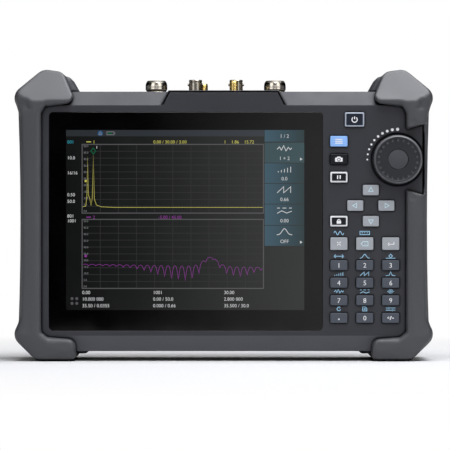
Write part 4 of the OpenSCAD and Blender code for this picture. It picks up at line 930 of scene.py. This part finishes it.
class DressKeys(bpy.types.Operator):
    """Finishes the keys and prints their numbers and signs"""
    bl_idname = "analyzer.keys"
    bl_label = "Keys"

    def execute(self, context):
        black = key_finish("black_key", 0.42, 0.5, 2.5)
        coat(black, "key_camera")
        coat(key_finish("light_key", 0.5, 0.6, 1.25, 0.06), *LIGHT_KEYS)
        coat(key_finish("dark_key", 0.5, 0.6, 1.7), *NUMBER_KEYS)
        coat(key_finish("menu_key", 0.45, 0.6, 1.3), "key_menu")
        coat(key_finish("power_rim", 0.35, 0.4, 1.3), "key_power")
        coat(key_finish("key_rim", 0.45, 0.4, 0.8, 0.04), "key_hold", "key_lock")
        self.add_numbers()
        self.add_framed(black)
        self.add_function_signs(black)
        self.add_arrows()
        self.add_entry_signs()
        return {"FINISHED"}

    def art(self, node):
        """Empty marks for a key, measured in millimetres from the middle of its face."""
        return Artwork(node + "_mark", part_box(node)[0].y, middle(node))

    def add_sign(self, node, lines, width, key):
        """Prints a sign made of lines on a key."""
        art = self.art(node)
        art.strokes(lines, 0, 0, 1.0, width, mark_finish(key))
        art.piece(node, "white_plastic")

    def add_numbers(self):
        """Prints the digits, the dot and the plus and minus."""
        size = sizes()
        height = size.digit_h / MM
        white = mark_finish("white")
        for node, text in NUMBER_KEYS.items():
            art = self.art(node)
            if text == ".":
                art.disc(0, -0.9, 0.55, white)
            elif text == "+/-":
                art.strokes(PLUS_MINUS, 0, 0, 1.0, size.icon_line / MM, white)
            else:
                art.words(text, 0, -height / 2, height, white, 0, "CENTER")
            art.piece(node, "white_plastic")

    def add_framed(self, black):
        """Dark faces of the framed keys, with the signs for power, hold and lock."""
        size = sizes()
        line = size.icon_line / MM
        white = mark_finish("white")
        navy = key_finish("power_face", 0.42, 0.5, 2.5)
        framed = (black, size.framed_w / MM, size.framed_h / MM)
        power = [circle(0, -0.1, 1.9, 22, 125.0, 290.0), [(0, 2.2), (0, 0.2)]]
        bars = [[(x, -1.3), (x, 1.3)] for x in (-0.9, 0.9)]
        shackle = [circle(0, 0.25, 0.95, 14, 0.0, 180.0)]
        faces = {
            "key_power": (navy, size.power_w / MM, size.power_h / MM, power, 1.15),
            "key_hold": (*framed, bars, 1.5),
            "key_lock": (*framed, shackle, 1.15),
        }
        for node, (ground, width, height, sign, weight) in faces.items():
            art = self.art(node)
            art.face(rounded_box(0, 0, width, height, 0.6), ground)
            art.strokes(sign, 0, 0, 1.0, line * weight, white, 1)
            if node == "key_lock":
                art.face(rounded_box(0, -0.75, 3.2, 2.1, 0.3), white, 1)
            art.piece(node, "black_key")

    def add_function_signs(self, black):
        """Three bars on the menu key and a camera on the camera key."""
        white = mark_finish("white")
        menu = self.art("key_menu")
        for z in (-1.35, 0.0, 1.35):
            menu.bar(-2.7, z - 0.34, 2.7, z + 0.34, white)
        menu.piece("key_menu", "white_plastic")
        camera = self.art("key_camera")
        body = [(-2.7, -1.8), (2.7, -1.8), (2.7, 1.1), (1.5, 1.1), (0.95, 1.9), (-0.95, 1.9), (-1.5, 1.1),
                (-2.7, 1.1)]
        camera.face(body, white)
        camera.disc(0, -0.3, 1.25, black, 1)
        camera.disc(0, -0.3, 0.8, white, 2)
        camera.piece("key_camera", "white_plastic")

    def add_arrows(self):
        """Hollow triangles that point right, up, left and down."""
        line = sizes().icon_line / MM
        for i, node in enumerate(("key_right", "key_up", "key_left", "key_down")):
            tip = circle(0, 0, 1.9, 3, 90.0 * i)
            self.add_sign(node, [[*tip, tip[0]]], line * 0.9, "pale")

    def add_entry_signs(self):
        """A cross, a tag with a small cross in it, and a bent arrow."""
        line = sizes().icon_line / MM
        cross = [[(-1.3, -1.3), (1.3, 1.3)], [(-1.3, 1.3), (1.3, -1.3)]]
        tag = [[(-2.7, 0), (-1.3, 1.5), (2.3, 1.5), (2.3, -1.5), (-1.3, -1.5), (-2.7, 0)],
               [(-0.3, -0.65), (1.0, 0.65)], [(-0.3, 0.65), (1.0, -0.65)]]
        arrow = [[(2.3, 1.4), (2.3, -0.4), (-2.2, -0.4)], [(-1.0, 0.8), (-2.2, -0.4), (-1.0, -1.6)]]
        self.add_sign("key_esc", cross, line, "white")
        self.add_sign("key_back", tag, line, "pale")
        self.add_sign("key_enter", arrow, line, "white")


class DressLegends(bpy.types.Operator):
    """Prints the pale blue signs above the keys"""
    bl_idname = "analyzer.legends"
    bl_label = "Legends"

    def execute(self, context):
        size = sizes()
        order = {
            "key_esc": "wave", "key_back": "ruler", "key_1": "reach", "key_2": "bell", "key_3": "marker",
            "key_4": "level", "key_5": "sweep", "key_6": "peak", "key_7": "trace", "key_8": "limit",
            "key_9": "target", "key_dot": "renew", "key_0": "page", "key_sign": "sliders",
        }
        blue = mark_finish("legend")
        art = Artwork("panel_legends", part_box("front_shell")[0].y)
        for node, sign in order.items():
            x, z = middle(node)
            z += size.entry_rise if node in ENTRY_KEYS else size.legend_rise
            art.strokes(signs()[sign], x / MM, z / MM, size.legend_w / 2 / MM, size.legend_line / MM, blue)
        art.piece("case", "white_plastic")
        return {"FINISHED"}


class DressScreen(bpy.types.Operator):
    """Finishes the glass and lights the screen: bars, graphs, traces, numbers and soft keys"""
    bl_idname = "analyzer.screen"
    bl_label = "Screen"

    # The picture is laid out in display dots, from its top left corner
    wide = 800
    high = 600
    column = 54
    graph_end = 663
    soft_start = 667

    def execute(self, context):
        size = sizes()
        coat(glass_finish(), "display_glass")
        low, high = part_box("display_glass")
        left, right = low.x + size.screen_left, high.x - size.screen_right
        foot, top = low.z + size.screen_low, high.z - size.screen_top
        pitch = ((right - left) / self.wide, -(top - foot) / self.high)
        self.soft_ends = (left + self.soft_start * pitch[0], right)
        self.ends = (left, right)
        art = Artwork("screen_picture", low.y, (left, top), pitch)
        tone = colours()
        art.bar(0, 0, self.wide, self.high, lit("screen", tone.screen, tone.screen_pale, self.ends))
        self.add_status(art)
        self.add_graph(art, 48, 277)
        self.add_graph(art, 298, 528)
        self.add_upper_trace(art)
        self.add_lower_trace(art)
        self.add_numbers(art)
        self.add_soft_keys(art)
        art.piece("case", "screen")
        return {"FINISHED"}

    def glow(self, key):
        """One of the screen's colours."""
        return lit("screen_" + key, getattr(colours(), key))

    def write(self, art, text, x, y, key="text", height=11, align="LEFT"):
        """Writes on the screen."""
        art.words(text, x, y, height, self.glow(key), TEXT, align)

    def add_status(self, art):
        """Bar along the top, with a round sign and a battery sign."""
        tone = colours()
        pale = self.glow("scale")
        battery = [[(-13, -5), (11, -5), (11, 5), (-13, 5), (-13, -5)], [(14, -2), (14, 2)]]
        art.bar(0, 0, self.soft_start - 2, 21, lit("screen_bar", tone.bar, tone.bar_pale, self.ends), FIELD)
        art.disc(115, 11, 9, self.glow("sign"), LINES)
        art.strokes([[(-5, 4), (0, -5), (5, 4), (-5, 4)]], 115, 11, 1.0, 2.0, pale, TEXT)
        art.strokes(battery, 150, 11, 1.0, 2.0, pale, LINES)
        art.bar(140, 8, 154, 14, self.glow("marker"), LINES)

    def add_graph(self, art, top, foot):
        """Framed grid of ten by ten, with a number on each line."""
        grid = self.glow("grid")
        for i in range(1, 10):
            x = self.column + (self.graph_end - self.column) * i / 10
            y = top + (foot - top) * i / 10
            art.bar(x - 1, top, x + 1, foot, grid, FIELD)
            art.bar(self.column, y - 1, self.graph_end, y + 1, grid, FIELD)
        corners = [(self.column, top), (self.graph_end, top), (self.graph_end, foot), (self.column, foot)]
        art.line(corners, 3.4, self.glow("frame"), LINES, True)
        for i in range(11):
            y = top + 6 + (foot - top - 4) * i / 10.4
            self.write(art, "%.1f" % (50 - 5 * i), self.column + 5, y + 3, "scale", 6.5)

    def add_upper_trace(self, art):
        """Two narrow peaks at the start of a flat line, with a marker on the second."""
        yellow = self.glow("trace")
        points = [(56, 256), (66, 254), (70, 220), (72.5, 87), (75, 216), (80, 230), (84, 252), (88, 226),
                  (91.5, 82), (95, 230), (102, 250), (118, 256), (160, 258), (self.graph_end - 2, 258)]
        art.line(points, 1.5, yellow, TRACE)
        art.disc(66, 170, 4.0, yellow, TRACE, 12)
        diamond = [[(0, -10), (8, 0), (0, 10), (-8, 0), (0, -10)]]
        art.strokes(diamond, 91.5, 70, 1.0, 3.4, self.glow("marker"), MARK)
        art.words("1", 100, 62, 9, self.glow("white"), MARK)

    def add_lower_trace(self, art):
        """A ripple that swells towards the middle, rises in a hump and settles."""
        violet = self.glow("second")
        points = []
        steps = 300
        for i in range(steps + 1):
            share = i / steps
            x = self.column + 4 + (self.graph_end - self.column - 8) * share
            swell = math.exp(-((share - 0.56) / 0.2) ** 2)
            tail = math.exp(-((share - 0.88) / 0.09) ** 2)
            hump = math.exp(-((share - 0.71) / 0.055) ** 2)
            calm = 1.0 - 0.85 * hump
            beat = abs(math.sin(math.pi * 26 * share + 0.6))
            depth = (5 + 46 * swell + 26 * tail) * calm * (1.0 - beat) ** 1.4
            points.append((x, 447 + 4 * share - 26 * hump + depth + 7 * share * (1 - hump)))
        art.line(points, 1.4, violet, TRACE)
        art.disc(66, 420, 4.5, violet, TRACE, 12)

    def add_numbers(self, art):
        """Numbers beside and below the graphs."""
        self.write(art, "001", 4, 45, "cyan")
        settings = {98: "10.0", 148: "16/16", 221: "0.50", 243: "50.0", 292: "801", 308: "1001"}
        for y, text in settings.items():
            self.write(art, text, 4, y)
        for x, y in ((20, 562), (36, 562), (20, 578), (36, 578)):
            art.disc(x, y, 5, self.glow("frame"), TEXT, 12)
        heads = (("trace", 45, {90: "1", 293: "0.00 / 30.00 / 3.00", 530: "1    1.86    15.72"}),
                 ("second", 296, {90: "2", 310: "-5.00 / 45.00"}))
        for key, y, texts in heads:
            art.bar(68, y - 7, 84, y - 4, self.glow(key), TEXT)
            for x, text in texts.items():
                self.write(art, text, x, y, key)
        rows = (("0.00", "1001", "30.00"), ("10.000 000", "0.00 / 50.0", "2.800 000"),
                ("35.50 / 0.0355", "0.000 / 0.66", "35.500 / 30.0"))
        for row, texts in enumerate(rows):
            for step, text in enumerate(texts):
                self.write(art, text, self.column + 238 * step, 547 + 22 * row, "text", 11.5)

    def add_soft_keys(self, art):
        """Column of soft keys at the right, each with a sign and a value."""
        tone = colours()
        white = self.glow("text")
        blue = lit("screen_soft", tone.left_soft, tone.right_soft, self.soft_ends)
        centre = (self.soft_start + self.wide) / 2
        art.bar(self.soft_start, 0, self.wide, 39, blue, FIELD)
        self.write(art, "1 / 2", centre, 26, "text", 12, "CENTER")
        blocks = ((42, 109, "trace", "1 + 2"), (111, 177, "level", "0.0"), (179, 246, "sweep", "0.66"),
                  (248, 317, "limit", "0.00"), (319, 386, "bell", "OFF"))
        for i, (top, foot, sign, text) in enumerate(blocks):
            art.bar(self.soft_start, top, self.wide, foot, blue if i else self.glow("chosen"), FIELD)
            upright = [[(x, -y) for x, y in points] for points in signs()[sign]]
            art.strokes(upright, centre, top + 20, 26, 2.4, white, TEXT)
            self.write(art, text, centre, foot - 9, "text", 12, "CENTER")
        for y in (97, 374):
            art.face([(self.wide - 14, y - 5), (self.wide - 6, y), (self.wide - 14, y + 5)], white, TEXT)


class AnalyzerPanel(bpy.types.Panel):
    """Lists the steps that dress the analyzer"""
    bl_idname = "VIEW3D_PT_analyzer"
    bl_label = "Analyzer"
    bl_space_type = "VIEW_3D"
    bl_region_type = "UI"
    bl_category = "Analyzer"

    def draw(self, context):
        for step in STEPS:
            self.layout.operator(step.bl_idname)


STEPS = (AddStage, DressCase, DressBumpers, DressDial, DressJacks, DressKeys, DressLegends, DressScreen)
CLASSES = (AnalyzerSizes, AnalyzerColours, *STEPS, AnalyzerPanel)


def register():
    for entry in CLASSES:
        bpy.utils.register_class(entry)
    bpy.types.Scene.analyzer_sizes = bpy.props.PointerProperty(type=AnalyzerSizes)
    bpy.types.Scene.analyzer_colours = bpy.props.PointerProperty(type=AnalyzerColours)


def unregister():
    del bpy.types.Scene.analyzer_colours
    del bpy.types.Scene.analyzer_sizes
    for entry in reversed(CLASSES):
        bpy.utils.unregister_class(entry)


def main():
    register()
    bpy.ops.analyzer.stage()
    bpy.ops.analyzer.case()
    bpy.ops.analyzer.bumpers()
    bpy.ops.analyzer.dial()
    bpy.ops.analyzer.jacks()
    bpy.ops.analyzer.keys()
    bpy.ops.analyzer.legends()
    bpy.ops.analyzer.screen()


if __name__ == "__main__":
    main()
